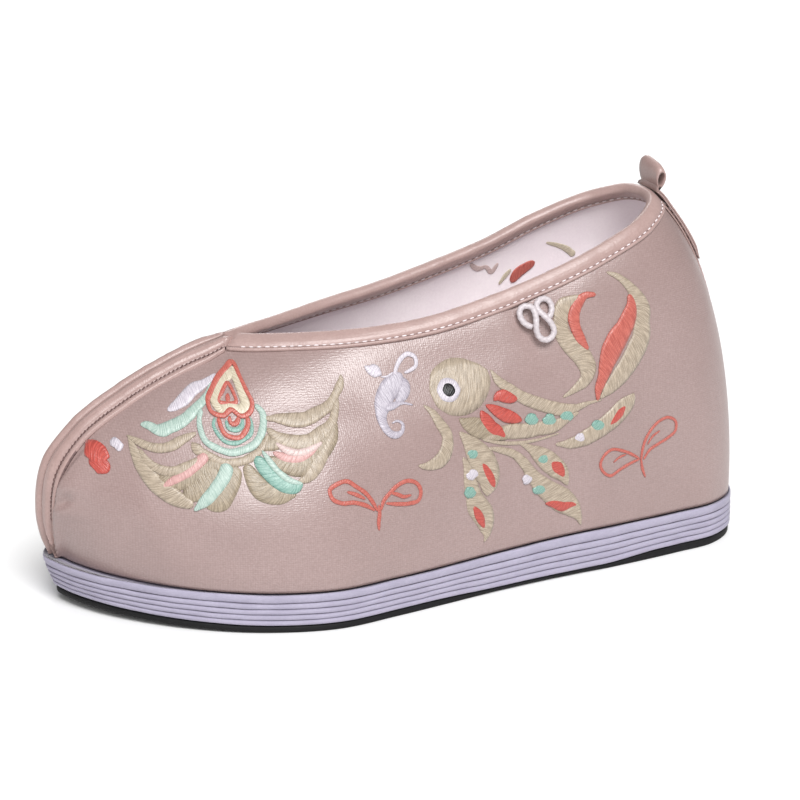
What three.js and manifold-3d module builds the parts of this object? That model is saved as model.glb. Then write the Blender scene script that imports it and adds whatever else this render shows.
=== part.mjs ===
// Hanfu cloth shoe for the left foot, with a hidden wedge inside.
// Millimetres, +Z up, +X to the toe, +Y to the wearer's left, which is this shoe's outer side.
// The origin is on the floor in the middle of the heel.
import * as THREE from "three";
import { mergeVertices } from "three/addons/utils/BufferGeometryUtils.js";
import Module from "manifold-3d";

const wasm = await Module();
wasm.setup();

// Driving dimensions.
const SOLE_LENGTH = 242; // layered sole, heel end to toe tip
const BALL_WIDTH = 90; // layered sole across the ball
const HEEL_WIDTH = 62; // layered sole across the heel
const HEEL_CENTRE = 32; // from the heel end to the middle of the heel
const TOE_SPRING = 3.2; // lift of the sole at the toe tip
const SPRING_START = 174; // from the heel end, where the toe spring begins
const ARCH_RISE = 0.4; // hollow under the waist of the rubber
const RUBBER = 2.2; // thickness of the rubber outsole at the ball
const RUBBER_HEEL = 2.8; // under the heel
const RUBBER_WAIST = 1.5; // and in the waist between them
const RUBBER_INSET = 0.6; // rubber edge behind the layered sole's edge
const PLY_COUNT = 5; // cloth-wrapped plies in the layered sole
const SOLE_TOP = 13; // floor to the top of the layered sole at the ball
const HEEL_LIFT = 1.8; // top of the layered sole at the heel over its height at the ball
const GROOVE = 0.8; // depth of the groove between two plies
const TOE_UNDERCUT = 3.6; // lowest ply behind the top ply at the toe
const SIDE_LEDGE = 0.9; // top ply beyond the upper along the side
const TOE_LEDGE = 4.6; // top ply beyond the upper at the toe
const WALL = 2.2; // satin, backing and lining together
const CLEARANCE = 0.3; // between neighbouring pieces
const BACK_HEIGHT = 117.5; // floor to the collar at the back seam
const THROAT_HEIGHT = 85; // floor to the throat
const BACK_SETBACK = 31.5; // heel end to the collar's back
const THROAT_REACH = 181.5; // heel end to the throat
const COLLAR_WIDTH = 42; // across the collar opening, outside
const RIDGE_REACH = 241; // heel end to the foremost point of the front seam
const TOE_SWING = 8; // sideways lie of the toe towards the inner side
const BINDING_WIDTH = 7.7; // folded binding outside the collar
const BINDING_TURN = 8; // folded binding inside the collar
const BINDING = 0.9; // thickness of the folded binding
const SEAM_WIDTH = 8.3; // each bound edge along the front seam
const SEAM_THICKNESS = 1.2;
const STRIP_WIDTH = 12; // tape over the back seam
const TAPE = 0.8; // thickness of the tape
const LOOP_WIDTH = 12; // ribbon of the pull loop
const LOOP_RISE = 11.5; // pull loop above the collar
const LOOP_TAIL = 27; // sewn ends of the pull loop below the collar
const LOOP_LEAN = -0.04; // radians forward of upright
const LOOP_SETBACK = 1.2; // eye of the pull loop behind its sewn ends
const LOOP_SKEW = 0.2; // fall of the pull loop towards its outer edge, per millimetre of width
const EYE_WIDTH = 3.4; // opening of the pull loop, seen from the side
const SEAT_HEIGHT = 58; // heel seat of the wedge over the floor
const FOREPART_THICKNESS = 3; // wedge footbed under the toes
const CORD = 1.8; // cord of the ornamental knot
const KNOT_HEIGHT = 14.2; // cord's middle, from its lower loop to its upper ones

const SATIN = 0xc9ada6;
const BAND_CLOTH = 0xd5cfe2;
const RUBBER_BLACK = 0x121014;
const LINING_CLOTH = 0xd8d0dd;
const CORD_WHITE = 0xe9e6ee;

// Half outline of the sole: shares of its length, and of its width on the outer and inner side.
// ball says how far the row follows the ball's width rather than the heel's.
const SOLE_ROWS = [
  { along: 0, outer: 0, inner: 0, ball: 0 },
  { along: 0.005, outer: 0.19, inner: 0.19, ball: 0 },
  { along: 0.028, outer: 0.35, inner: 0.345, ball: 0 },
  { along: 0.066, outer: 0.455, inner: 0.44, ball: 0 },
  { along: 0.13, outer: 0.505, inner: 0.49, ball: 0 },
  { along: 0.235, outer: 0.526, inner: 0.474, ball: 0.15 },
  { along: 0.36, outer: 0.526, inner: 0.442, ball: 0.35 },
  { along: 0.475, outer: 0.53, inner: 0.43, ball: 0.6 },
  { along: 0.58, outer: 0.539, inner: 0.445, ball: 0.85 },
  { along: 0.675, outer: 0.545, inner: 0.461, ball: 1 },
  { along: 0.76, outer: 0.488, inner: 0.472, ball: 1 },
  { along: 0.845, outer: 0.37, inner: 0.446, ball: 1 },
  { along: 0.912, outer: 0.235, inner: 0.385, ball: 1 },
  { along: 0.962, outer: 0.095, inner: 0.295, ball: 1 },
  { along: 0.99, outer: -0.03, inner: 0.205, ball: 1 },
  { along: 1, outer: -0.122, inner: 0.122, ball: 1 },
];

// Collar edge from the back to the throat: shares of its length, half width and rise;
// dip is how much lower the inner side lies.
const COLLAR_ROWS = [
  { along: 0, out: 0, up: 1, dip: 0 },
  { along: 0.014, out: 0.44, up: 1, dip: 0 },
  { along: 0.065, out: 0.79, up: 0.965, dip: 0 },
  { along: 0.2, out: 1, up: 0.78, dip: 0.02 },
  { along: 0.333, out: 1.01, up: 0.585, dip: 0.065 },
  { along: 0.467, out: 0.97, up: 0.395, dip: 0.045 },
  { along: 0.6, out: 0.91, up: 0.215, dip: 0.01 },
  { along: 0.733, out: 0.78, up: 0.105, dip: 0 },
  { along: 0.867, out: 0.47, up: 0.03, dip: 0 },
  { along: 0.95, out: 0.22, up: 0.005, dip: 0 },
  { along: 1, out: 0, up: 0, dip: 0 },
];

// Front seam from the throat to the sole: shares of its reach and of the throat's rise.
const RIDGE_ROWS = [
  { along: 0, up: 1 },
  { along: 0.25, up: 0.915 },
  { along: 0.57, up: 0.775 },
  { along: 0.825, up: 0.62 },
  { along: 0.968, up: 0.455 },
  { along: 1, up: 0.29 },
  { along: 0.985, up: 0.12 },
  { along: 0.94, up: 0 },
];

// Meridians of the upper from the sole edge to its top edge.
// foot: share of the half outline; edge: 0 to 1 along the collar, 1 to 2 along the front seam;
// lean, rise: outward lean and length of the lower handle; heading, slope, reach: plan heading
// (180 to the heel, 90 to the side), fall and length of the upper handle, lengths as chord shares.
const MERIDIANS = [
  { foot: 0, edge: 0, lean: 0.03, rise: 0.34, heading: 180, slope: 38, reach: 0.3 },
  { foot: 0.06, edge: 0.035, lean: 0.02, rise: 0.34, heading: 155, slope: 41, reach: 0.28 },
  { foot: 0.12, edge: 0.1, lean: 0.02, rise: 0.36, heading: 123, slope: 47, reach: 0.24 },
  { foot: 0.2, edge: 0.21, lean: 0.06, rise: 0.37, heading: 102, slope: 53, reach: 0.22 },
  { foot: 0.31, edge: 0.35, lean: 0.07, rise: 0.38, heading: 93, slope: 55, reach: 0.21 },
  { foot: 0.43, edge: 0.53, lean: 0.09, rise: 0.38, heading: 89, slope: 52, reach: 0.22 },
  { foot: 0.55, edge: 0.72, lean: 0.12, rise: 0.38, heading: 84, slope: 41, reach: 0.25 },
  { foot: 0.645, edge: 0.88, lean: 0.16, rise: 0.37, heading: 79, slope: 30, reach: 0.29 },
  { foot: 0.715, edge: 1, lean: 0.19, rise: 0.37, heading: 79, slope: 26, reach: 0.32 },
  { foot: 0.8, edge: 1.19, lean: 0.24, rise: 0.38, heading: 82, slope: 23, reach: 0.35 },
  { foot: 0.87, edge: 1.38, lean: 0.28, rise: 0.4, heading: 86, slope: 20, reach: 0.38 },
  { foot: 0.93, edge: 1.59, lean: 0.3, rise: 0.4, heading: 90, slope: 16, reach: 0.42 },
  { foot: 0.97, edge: 1.79, lean: 0.25, rise: 0.38, heading: 90, slope: 18, reach: 0.42 },
  { foot: 1, edge: 2, lean: 0.1, rise: 0.35, heading: 90, slope: 30, reach: 0.4 },
];
const THROAT_FOOT = 0.715; // the row above whose edge is 1

// Side profile of the wedge footbed: shares of the sole's length and of the heel seat's rise.
const SEAT_ROWS = [
  { along: -0.05, up: 1.03 },
  { along: 0.08, up: 1 },
  { along: 0.2, up: 0.97 },
  { along: 0.34, up: 0.76 },
  { along: 0.48, up: 0.42 },
  { along: 0.6, up: 0.15 },
  { along: 0.7, up: 0.03 },
  { along: 0.8, up: 0 },
];

// Route of the knot's cord from the knot's middle: millimetres towards the heel and up.
const KNOT_ROUTE = [
  { back: -3, up: -3.6 },
  { back: -6, up: -1.2 },
  { back: -7, up: 1.2 },
  { back: -6.2, up: 3.4 },
  { back: -4, up: 4 },
  { back: -1.8, up: 2.6 },
  { back: -1.6, up: -0.6 },
  { back: -2, up: -3.8 },
  { back: -1.2, up: -6.8 },
  { back: 1.2, up: -8.1 },
  { back: 4.2, up: -7.4 },
  { back: 5.2, up: -4.6 },
  { back: 3.6, up: -1.2 },
  { back: 1.4, up: 1.6 },
  { back: 0.2, up: 4 },
  { back: 1.4, up: 5.6 },
  { back: 3.6, up: 5.8 },
  { back: 5.6, up: 4.2 },
  { back: 6, up: 1.6 },
  { back: 5, up: -0.6 },
];
const KNOT_ROUTE_HEIGHT = 13.9; // from the lowest to the highest row above
const KNOT_PLACE = { foot: 0.347, climb: 0.77 }; // middle of the knot on the upper

const HALF_STEPS = { collar: 23, seam: 15, climb: 10 };
const SOLE_STEPS = 38; // facets along each side of the sole
const HALF_FACET = 0.25; // start of each side, in facets from the heel end and from the toe tip
const FEATHER_HEIGHT = SOLE_TOP + CLEARANCE;
const OUTER = 1;
const INNER = -1;
const SIDES = [OUTER, INNER];

const mix = (a, b, t) => a + (b - a) * t;

function smoothstep(from, to, x) {
  const t = THREE.MathUtils.clamp((x - from) / (to - from), 0, 1);
  return t * t * (3 - 2 * t);
}

// Smooth curve through points, each an array of numbers, over rising knots.
function curveThrough(knots, points, closed = false) {
  const last = knots.length - 1;
  const slope = (i) => {
    const d = knots[i + 1] - knots[i];
    return points[i + 1].map((v, k) => (v - points[i][k]) / d);
  };
  const blend = (before, after, dBefore, dAfter) =>
    before.map((v, k) => (v * dAfter + after[k] * dBefore) / (dBefore + dAfter));
  const tangents = points.map((_, i) => {
    if (i > 0 && i < last) {
      return blend(slope(i - 1), slope(i), knots[i] - knots[i - 1], knots[i + 1] - knots[i]);
    }
    if (closed) {
      return blend(slope(last - 1), slope(0), knots[last] - knots[last - 1], knots[1] - knots[0]);
    }
    return i === 0 ? slope(0) : slope(last - 1);
  });
  return (at) => {
    const t = closed ? at - Math.floor(at) : THREE.MathUtils.clamp(at, knots[0], knots[last]);
    let i = 0;
    while (i < last - 1 && t > knots[i + 1]) i++;
    const d = knots[i + 1] - knots[i];
    const u = (t - knots[i]) / d;
    const h = [
      2 * u ** 3 - 3 * u ** 2 + 1,
      (u ** 3 - 2 * u ** 2 + u) * d,
      3 * u ** 2 - 2 * u ** 3,
      (u ** 3 - u ** 2) * d,
    ];
    return points[i].map(
      (v, k) => v * h[0] + tangents[i][k] * h[1] + points[i + 1][k] * h[2] + tangents[i + 1][k] * h[3],
    );
  };
}

// Running chord length of a row of points, as shares from 0 to 1.
function chordShares(points) {
  const sums = [0];
  for (let i = 1; i < points.length; i++) {
    sums.push(sums[i - 1] + Math.hypot(...points[i].map((v, k) => v - points[i - 1][k])));
  }
  return sums.map((v) => v / sums[sums.length - 1]);
}

const springAt = (x) => {
  const t = Math.max(0, (x - SPRING_START) / (SOLE_LENGTH - SPRING_START));
  return TOE_SPRING * t ** 1.7;
};
// Lift of the top of the layered sole over its height at the ball.
const liftAt = (x) => springAt(x) + HEEL_LIFT * (1 - smoothstep(0.26, 0.56, x / SOLE_LENGTH));
// Top of the rubber: thick under heel and forefoot, thin in the waist.
const rubberAt = (x) => {
  const heel = (RUBBER_HEEL - RUBBER_WAIST) * (1 - smoothstep(0.16, 0.26, x / SOLE_LENGTH));
  const fore = (RUBBER - RUBBER_WAIST) * smoothstep(0.42, 0.54, x / SOLE_LENGTH);
  return RUBBER_WAIST + heel + fore + springAt(x);
};

const swingAt = (x) => -TOE_SWING * smoothstep(0.45 * SOLE_LENGTH, 1.08 * SOLE_LENGTH, x);

const solePoint = (row, side) => [
  row.along * SOLE_LENGTH,
  side * (side === OUTER ? row.outer : row.inner) * mix(HEEL_WIDTH, BALL_WIDTH, row.ball),
];
const soleLoop = [
  ...SOLE_ROWS.map((row) => solePoint(row, OUTER)),
  ...SOLE_ROWS.slice(0, -1).reverse().map((row) => solePoint(row, INNER)),
];
const soleKnots = chordShares(soleLoop);
const soleCurve = curveThrough(soleKnots, soleLoop, true);
const TOE_KNOT = soleKnots[SOLE_ROWS.length - 1];

// Share of the whole sole outline for a share of one half, from heel to toe.
const outlineShare = (side, foot) =>
  side === OUTER ? foot * TOE_KNOT : 1 - foot * (1 - TOE_KNOT);

// Point of the sole outline moved inwards, and the outline's outward direction there.
function soleEdge(side, foot, inset = 0) {
  const share = outlineShare(side, foot);
  const [x, y] = soleCurve(share);
  const [xa, ya] = soleCurve(share - 0.002);
  const [xb, yb] = soleCurve(share + 0.002);
  const away = new THREE.Vector3(-(yb - ya), xb - xa, 0).normalize();
  return { point: new THREE.Vector3(x, y, 0).addScaledVector(away, -inset), away };
}

const collarPoint = (row, side) => [
  mix(BACK_SETBACK, THROAT_REACH, row.along),
  (side * row.out * COLLAR_WIDTH) / 2,
  mix(THROAT_HEIGHT, BACK_HEIGHT, row.up - (side === INNER ? row.dip : 0)),
];
const collarLines = new Map(
  SIDES.map((side) => {
    const line = [
      ...COLLAR_ROWS.slice(1).reverse().map((row) => collarPoint(row, -side)),
      ...COLLAR_ROWS.map((row) => collarPoint(row, side)),
    ];
    const knots = chordShares(line);
    const back = knots[COLLAR_ROWS.length - 1];
    const curve = curveThrough(knots, line);
    return [side, (edge) => curve(mix(back, 1, edge))];
  }),
);

const ridgeLine = RIDGE_ROWS.map((row) => [
  mix(THROAT_REACH, RIDGE_REACH, row.along),
  mix(FEATHER_HEIGHT + TOE_SPRING, THROAT_HEIGHT, row.up),
]);
const ridgeCurve = curveThrough(chordShares(ridgeLine), ridgeLine);

const COLUMNS = ["edge", "lean", "rise", "heading", "slope", "reach"];
const meridianCurve = curveThrough(
  MERIDIANS.map((row) => row.foot),
  MERIDIANS.map((row) => COLUMNS.map((name) => row[name])),
);

// Lower edge of the upper on the sole.
function featherPoint(side, foot) {
  const ledge = mix(SIDE_LEDGE, TOE_LEDGE, smoothstep(0.78, 1, foot));
  const { point, away } = soleEdge(side, foot, ledge);
  point.z = FEATHER_HEIGHT + liftAt(point.x);
  return { point, away };
}

// Top edge of the upper: the collar up to the throat, then the front seam.
function topPoint(side, edge) {
  if (edge <= 1) {
    const [x, y, z] = collarLines.get(side)(edge);
    return new THREE.Vector3(x, y + swingAt(x), z);
  }
  const [x, z] = ridgeCurve(edge - 1);
  const toe = featherPoint(side, 1).point;
  const down = smoothstep(1.55, 2, edge);
  const lengthwise = ridgeCurve(1)[0];
  return new THREE.Vector3(
    x + (toe.x - lengthwise) * down,
    mix(swingAt(x), toe.y, down),
    z + (toe.z - FEATHER_HEIGHT - TOE_SPRING) * down,
  );
}

// Point of the upper's outer face: foot along the sole edge, climb from 0 at the sole to 1 on top.
function skinPoint(side, foot, climb) {
  const [edge, lean, rise, heading, slope, reach] = meridianCurve(foot);
  const { point: base, away } = featherPoint(side, foot);
  const top = topPoint(side, foot === THROAT_FOOT ? 1 : edge);
  const chord = base.distanceTo(top);
  const lower = base
    .clone()
    .addScaledVector(away, lean * rise * chord)
    .add(new THREE.Vector3(0, 0, rise * chord));
  const plan = THREE.MathUtils.degToRad(heading);
  const fall = THREE.MathUtils.degToRad(slope);
  const leave = new THREE.Vector3(
    Math.cos(plan) * Math.cos(fall),
    side * Math.sin(plan) * Math.cos(fall),
    -Math.sin(fall),
  );
  const upper = top.clone().addScaledVector(leave, reach * chord);
  return new THREE.CubicBezierCurve3(base, lower, upper, top).getPoint(climb);
}

// The same point for a foot share that may pass the heel on to the other side.
const wrapped = (side, foot, climb) =>
  foot < 0 ? skinPoint(-side, -foot, climb) : skinPoint(side, foot, climb);

function sideNormal(side, foot, climb) {
  const step = 0.004;
  const along = wrapped(side, Math.min(foot + step, 0.995), climb).sub(
    wrapped(side, Math.min(foot, 0.995) - step, climb),
  );
  const up = skinPoint(side, Math.min(foot, 0.985), Math.min(climb + step, 1)).sub(
    skinPoint(side, Math.min(foot, 0.985), Math.max(climb - step, 0)),
  );
  return along.cross(up).multiplyScalar(-side).normalize();
}

// Outward direction of the upper. Both halves share it along the front seam, and it is level at
// the sole edge, so that the two halves and the sole meet cleanly.
function skinNormal(side, foot, climb) {
  if (climb === 0 || foot === 1) return featherPoint(side, foot).away;
  if (climb === 1 && foot >= THROAT_FOOT) {
    return sideNormal(OUTER, foot, 1).add(sideNormal(INNER, foot, 1)).normalize();
  }
  return sideNormal(side, foot, climb);
}

const lifted = (side, foot, climb, lift) =>
  skinPoint(side, foot, climb).addScaledVector(skinNormal(side, foot, climb), lift);

// Climb of the point that lies a width below the top edge, measured square to that edge.
function climbBelow(side, foot, width) {
  const top = skinPoint(side, foot, 1);
  const edge = skinPoint(side, Math.max(foot - 0.004, 0.001), 1).sub(top).normalize();
  const down = skinPoint(side, foot, 0.97).sub(top).normalize();
  const sine = Math.max(Math.sin(down.angleTo(edge)), 0.5);
  let climb = 1;
  let run = 0;
  let here = top;
  while (climb > 0 && run < width / sine) {
    const next = skinPoint(side, foot, climb - 0.005);
    run += next.distanceTo(here);
    here = next;
    climb -= 0.005;
  }
  return Math.max(climb, 0);
}

// Closed body from a list of triangles, each three points.
function bodyFrom(triangles) {
  const kept = triangles.filter(
    ([a, b, c]) => a.distanceTo(b) > 1e-3 && b.distanceTo(c) > 1e-3 && c.distanceTo(a) > 1e-3,
  );
  const flat = new Float32Array(kept.flatMap((t) => t.flatMap((p) => p.toArray())));
  const loose = new THREE.BufferGeometry().setAttribute("position", new THREE.BufferAttribute(flat, 3));
  return mergeVertices(loose, 1e-3);
}

const quad = (a, b, c, d) => [
  [a, b, c],
  [a, c, d],
];

// Closed body through rings of equal count, each made of one line of points and a second line
// back to its start. Both ends are closed by strips between the two lines.
function loft(rings) {
  const count = rings[0].length;
  const walls = rings.slice(1).flatMap((ring, i) =>
    ring.flatMap((point, k) => {
      const next = (k + 1) % count;
      return quad(rings[i][k], rings[i][next], ring[next], point);
    }),
  );
  const cap = (ring) =>
    Array.from({ length: count / 2 - 1 }, (_, k) =>
      quad(ring[k], ring[count - 1 - k], ring[count - 2 - k], ring[k + 1]),
    ).flat();
  const farCap = cap(rings[rings.length - 1]).map(([a, b, c]) => [a, c, b]);
  return outwards(bodyFrom([...walls, ...cap(rings[0]), ...farCap]));
}

// The same body with its faces turned outwards.
function outwards(geometry) {
  const p = geometry.getAttribute("position");
  const index = Array.from(geometry.index.array);
  const corner = [0, 1, 2].map(() => new THREE.Vector3());
  let volume = 0;
  for (let i = 0; i < index.length; i += 3) {
    corner.forEach((v, k) => v.fromBufferAttribute(p, index[i + k]));
    volume += corner[0].dot(corner[1].clone().cross(corner[2]));
  }
  if (volume < 0) index.reverse();
  return geometry.setIndex(index);
}

function solidOf(geometry) {
  return new wasm.Manifold(
    new wasm.Mesh({
      numProp: 3,
      vertProperties: Float32Array.from(geometry.getAttribute("position").array),
      triVerts: Uint32Array.from(geometry.index.array),
    }),
  );
}

function geometryOf(solid) {
  const mesh = solid.getMesh();
  return new THREE.BufferGeometry()
    .setAttribute("position", new THREE.BufferAttribute(mesh.vertProperties, 3))
    .setIndex(new THREE.BufferAttribute(mesh.triVerts, 1));
}

// Closed geometry of a three.js shape, left with merged positions only.
function bare(geometry) {
  geometry.deleteAttribute("normal");
  geometry.deleteAttribute("uv");
  return mergeVertices(geometry, 1e-4);
}

// Ring round the sole: up its outer side from heel to toe and back along its inner side.
function soleRing(inset, height) {
  const half = (side) =>
    Array.from({ length: SOLE_STEPS + 1 }, (_, k) => {
      const foot = mix(HALF_FACET, SOLE_STEPS - HALF_FACET, k / SOLE_STEPS) / SOLE_STEPS;
      const { point } = soleEdge(side, foot, inset(foot));
      point.z = height(point.x);
      return point;
    });
  return [...half(OUTER), ...half(INNER).reverse()];
}

const toeShare = (foot) => smoothstep(0.74, 1, foot);

function outsole() {
  const arch = (x) =>
    ARCH_RISE * (smoothstep(0.24, 0.3, x / SOLE_LENGTH) - smoothstep(0.42, 0.5, x / SOLE_LENGTH));
  const under = (foot) => RUBBER_INSET + TOE_UNDERCUT * toeShare(foot);
  const edge = 0.5;
  return loft([
    soleRing((foot) => under(foot) + edge, (x) => springAt(x) + arch(x)),
    soleRing(under, (x) => springAt(x) + arch(x) + edge),
    soleRing(under, rubberAt),
  ]);
}

// Layered sole: each ply bulges between two grooves, and the top ply is a fuller roll.
function layeredSole() {
  const rings = [];
  const plyProfile = [
    { up: 0, back: 1 },
    { up: 0.14, back: 0.3 },
    { up: 0.5, back: 0 },
    { up: 0.86, back: 0.3 },
  ];
  const heightAt = (share) => (x) => mix(rubberAt(x) + CLEARANCE, SOLE_TOP + liftAt(x), share);
  for (let ply = 0; ply < PLY_COUNT; ply++) {
    plyProfile.forEach(({ up, back }) => {
      const share = (ply + up) / PLY_COUNT;
      const undercut = (foot) => TOE_UNDERCUT * toeShare(foot) * (1 - share) ** 1.4;
      rings.push(soleRing((foot) => back * GROOVE + undercut(foot), heightAt(share)));
    });
  }
  rings.push(soleRing(() => 2.2 * GROOVE, heightAt(1)));
  return loft(rings);
}

// Foot shares of the grid over the upper, with the throat on a grid line.
const APEX_BACK = 0.013; // from the throat back to where the two inner faces meet
const footSteps = [
  ...Array.from(
    { length: HALF_STEPS.collar },
    (_, i) => ((THROAT_FOOT - APEX_BACK) * i) / (HALF_STEPS.collar - 1),
  ),
  ...Array.from(
    { length: HALF_STEPS.seam + 1 },
    (_, i) => THROAT_FOOT + (1 - THROAT_FOOT) * (i / HALF_STEPS.seam) ** 0.94,
  ),
];
const MITRE_FOOT = THROAT_FOOT - 3.2 * APEX_BACK; // where the front seam takes over from the collar binding
const apexStep = HALF_STEPS.collar - 1;
const throatStep = HALF_STEPS.collar;

// Point on top where the faces of the two halves meet.
function metPoint(foot, lift) {
  const point = lifted(OUTER, foot, 1, lift).lerp(lifted(INNER, foot, 1, lift), 0.5);
  point.y = swingAt(point.x);
  return point;
}

// Face of the upper at a lift over its outer face, as a grid of points for one side.
function faceGrid(side, lift, climbSteps) {
  return footSteps.map((foot, i) =>
    Array.from({ length: climbSteps + 1 }, (_, k) => {
      const met = k === climbSteps && (i >= throatStep || (lift < 0 && i === apexStep));
      return met ? metPoint(foot, lift) : lifted(side, foot, k / climbSteps, lift);
    }),
  );
}

const gridTriangles = (grid, turned) =>
  grid.slice(1).flatMap((column, i) =>
    column.slice(1).flatMap((point, k) => {
      const [a, b, c, d] = [grid[i][k], column[k], point, grid[i][k + 1]];
      return turned ? quad(a, d, c, b) : quad(a, b, c, d);
    }),
  );

// Hollow upper, open at the collar and underneath.
function upper() {
  const triangles = SIDES.flatMap((side) => {
    const turned = side === OUTER;
    const outer = faceGrid(side, 0, HALF_STEPS.climb);
    const inner = faceGrid(side, -WALL, HALF_STEPS.climb);
    const strips = outer.slice(1).flatMap((column, i) => {
      const low = [outer[i][0], inner[i][0], inner[i + 1][0], column[0]];
      const made = turned ? quad(...low.reverse()) : quad(...low);
      if (i + 1 > throatStep) return made;
      const top = HALF_STEPS.climb;
      const [a, b, c, d] = [outer[i][top], column[top], inner[i + 1][top], inner[i][top]];
      const rim = i + 1 === throatStep ? [[a, b, d]] : quad(a, b, c, d);
      return [...made, ...(turned ? rim.map(([p, q, r]) => [p, r, q]) : rim)];
    });
    return [...gridTriangles(outer, turned), ...gridTriangles(inner, !turned), ...strips];
  });
  return outwards(bodyFrom(triangles));
}

// Room inside the upper, filled to a clearance from its inner face and closed over the collar.
function cavity() {
  const climbSteps = HALF_STEPS.climb;
  const triangles = [];
  const faces = SIDES.map((side) => faceGrid(side, -WALL - CLEARANCE, climbSteps));
  faces.forEach((grid, n) => triangles.push(...gridTriangles(grid, n === 0)));
  const [outer, inner] = faces;
  outer.slice(1).forEach((column, i) => {
    triangles.push(...quad(outer[i][0], column[0], inner[i + 1][0], inner[i][0]));
    if (i + 1 <= apexStep) {
      const top = climbSteps;
      triangles.push(...quad(outer[i][top], inner[i][top], inner[i + 1][top], column[top]));
    }
  });
  return solidOf(outwards(bodyFrom(triangles)));
}

// Wedge footbed: the room inside the upper below the line of the seat.
function footbed() {
  const floorOf = (x) => FEATHER_HEIGHT + FOREPART_THICKNESS + liftAt(x);
  const seatLine = SEAT_ROWS.map((row) => {
    const x = row.along * SOLE_LENGTH;
    return [x, mix(floorOf(x), SEAT_HEIGHT, row.up)];
  });
  const seatCurve = curveThrough(chordShares(seatLine), seatLine);
  const shape = new THREE.Shape();
  shape.moveTo(seatLine[0][0], 0);
  for (let i = 0; i <= 18; i++) shape.lineTo(...seatCurve(i / 18));
  for (let i = 1; i <= 4; i++) {
    const x = mix(0.8, 1.05, i / 4) * SOLE_LENGTH;
    shape.lineTo(x, floorOf(x));
  }
  shape.lineTo(1.05 * SOLE_LENGTH, 0);
  const block = new THREE.ExtrudeGeometry(shape, { depth: 2 * BALL_WIDTH, bevelEnabled: false });
  block.rotateX(Math.PI / 2).translate(0, BALL_WIDTH, 0);
  return geometryOf(cavity().intersect(solidOf(bare(block))));
}

// Satin binding folded over the collar edge, from near the throat round the back.
function collarBinding() {
  const far = CLEARANCE + BINDING;
  const within = -WALL - CLEARANCE;
  const section = (side, foot) => {
    const below = (width, lift) => lifted(side, foot, climbBelow(side, foot, width), lift);
    const rise = skinPoint(side, foot, 1).sub(skinPoint(side, foot, 0.97)).normalize();
    const above = (height, lift) => lifted(side, foot, 1, lift).addScaledVector(rise, height);
    const shown = [
      below(BINDING_WIDTH, far * 0.9),
      below(BINDING_WIDTH / 2, far * 1.15),
      above(0, far * 1.15),
      above(far * 0.8, CLEARANCE),
      above(far * 1.1, -WALL / 2),
      above(far * 0.8, within),
      above(0, within - BINDING),
      below(BINDING_TURN, within - BINDING),
    ];
    const hidden = [
      below(BINDING_WIDTH, CLEARANCE),
      below(BINDING_WIDTH / 2, CLEARANCE),
      above(0, CLEARANCE),
      above(CLEARANCE, CLEARANCE),
      above(CLEARANCE, -WALL / 2),
      above(CLEARANCE, within),
      above(0, within),
      below(BINDING_TURN, within),
    ];
    return [...shown, ...hidden.reverse()];
  };
  const feet = [...footSteps.slice(1, apexStep), MITRE_FOOT - 0.001];
  return loft([
    ...feet.map((foot) => section(INNER, foot)).reverse(),
    ...[0, ...feet].map((foot) => section(OUTER, foot)),
  ]);
}

// One bound edge along the front seam, from the throat down to the sole.
function frontSeam(side) {
  const start = MITRE_FOOT;
  const end = 0.975;
  const between = footSteps.filter((foot) => foot > start && foot < end);
  const rings = [start, ...between, end].map((foot) => {
    const low = climbBelow(side, foot, SEAM_WIDTH);
    const at = (share, lift) => {
      const point = lifted(side, foot, mix(1, low, share), lift);
      const apart = Math.max(side * (point.y - swingAt(point.x)), CLEARANCE / 2);
      return point.setY(swingAt(point.x) + side * apart);
    };
    const bulge = [1, 1, 0.85, 0.55].map((share, k) => at(k / 3, CLEARANCE + SEAM_THICKNESS * share));
    const base = [0, 1, 2, 3].map((k) => at(k / 3, CLEARANCE));
    return [...bulge, ...base.reverse()];
  });
  return loft(rings);
}

// Foot share that lies a distance from the back seam at a climb.
function footBeside(climb, distance) {
  const step = 0.01;
  const stride = skinPoint(OUTER, step, climb).distanceTo(skinPoint(OUTER, 0, climb));
  return (step * distance) / stride;
}

// Row of points across the back seam at a climb, lifted off the upper.
function backRow(climb, width, lift, count) {
  return Array.from({ length: count }, (_, k) => {
    const across = mix(-width / 2, width / 2, k / (count - 1));
    const side = across < 0 ? INNER : OUTER;
    return lifted(side, footBeside(climb, Math.abs(across)), climb, lift);
  });
}

const bindingClimb = climbBelow(OUTER, 0, BINDING_WIDTH);

// Tape over the back seam, from the sole up to the collar binding.
function backTape() {
  const rings = [];
  const steps = 12;
  const top = bindingClimb - 0.01;
  for (let i = 0; i <= steps; i++) {
    const climb = mix(0.01, top, i / steps);
    rings.push([
      ...backRow(climb, STRIP_WIDTH, CLEARANCE, 5),
      ...backRow(climb, STRIP_WIDTH, CLEARANCE + TAPE, 5).reverse(),
    ]);
  }
  return loft(rings);
}

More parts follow.
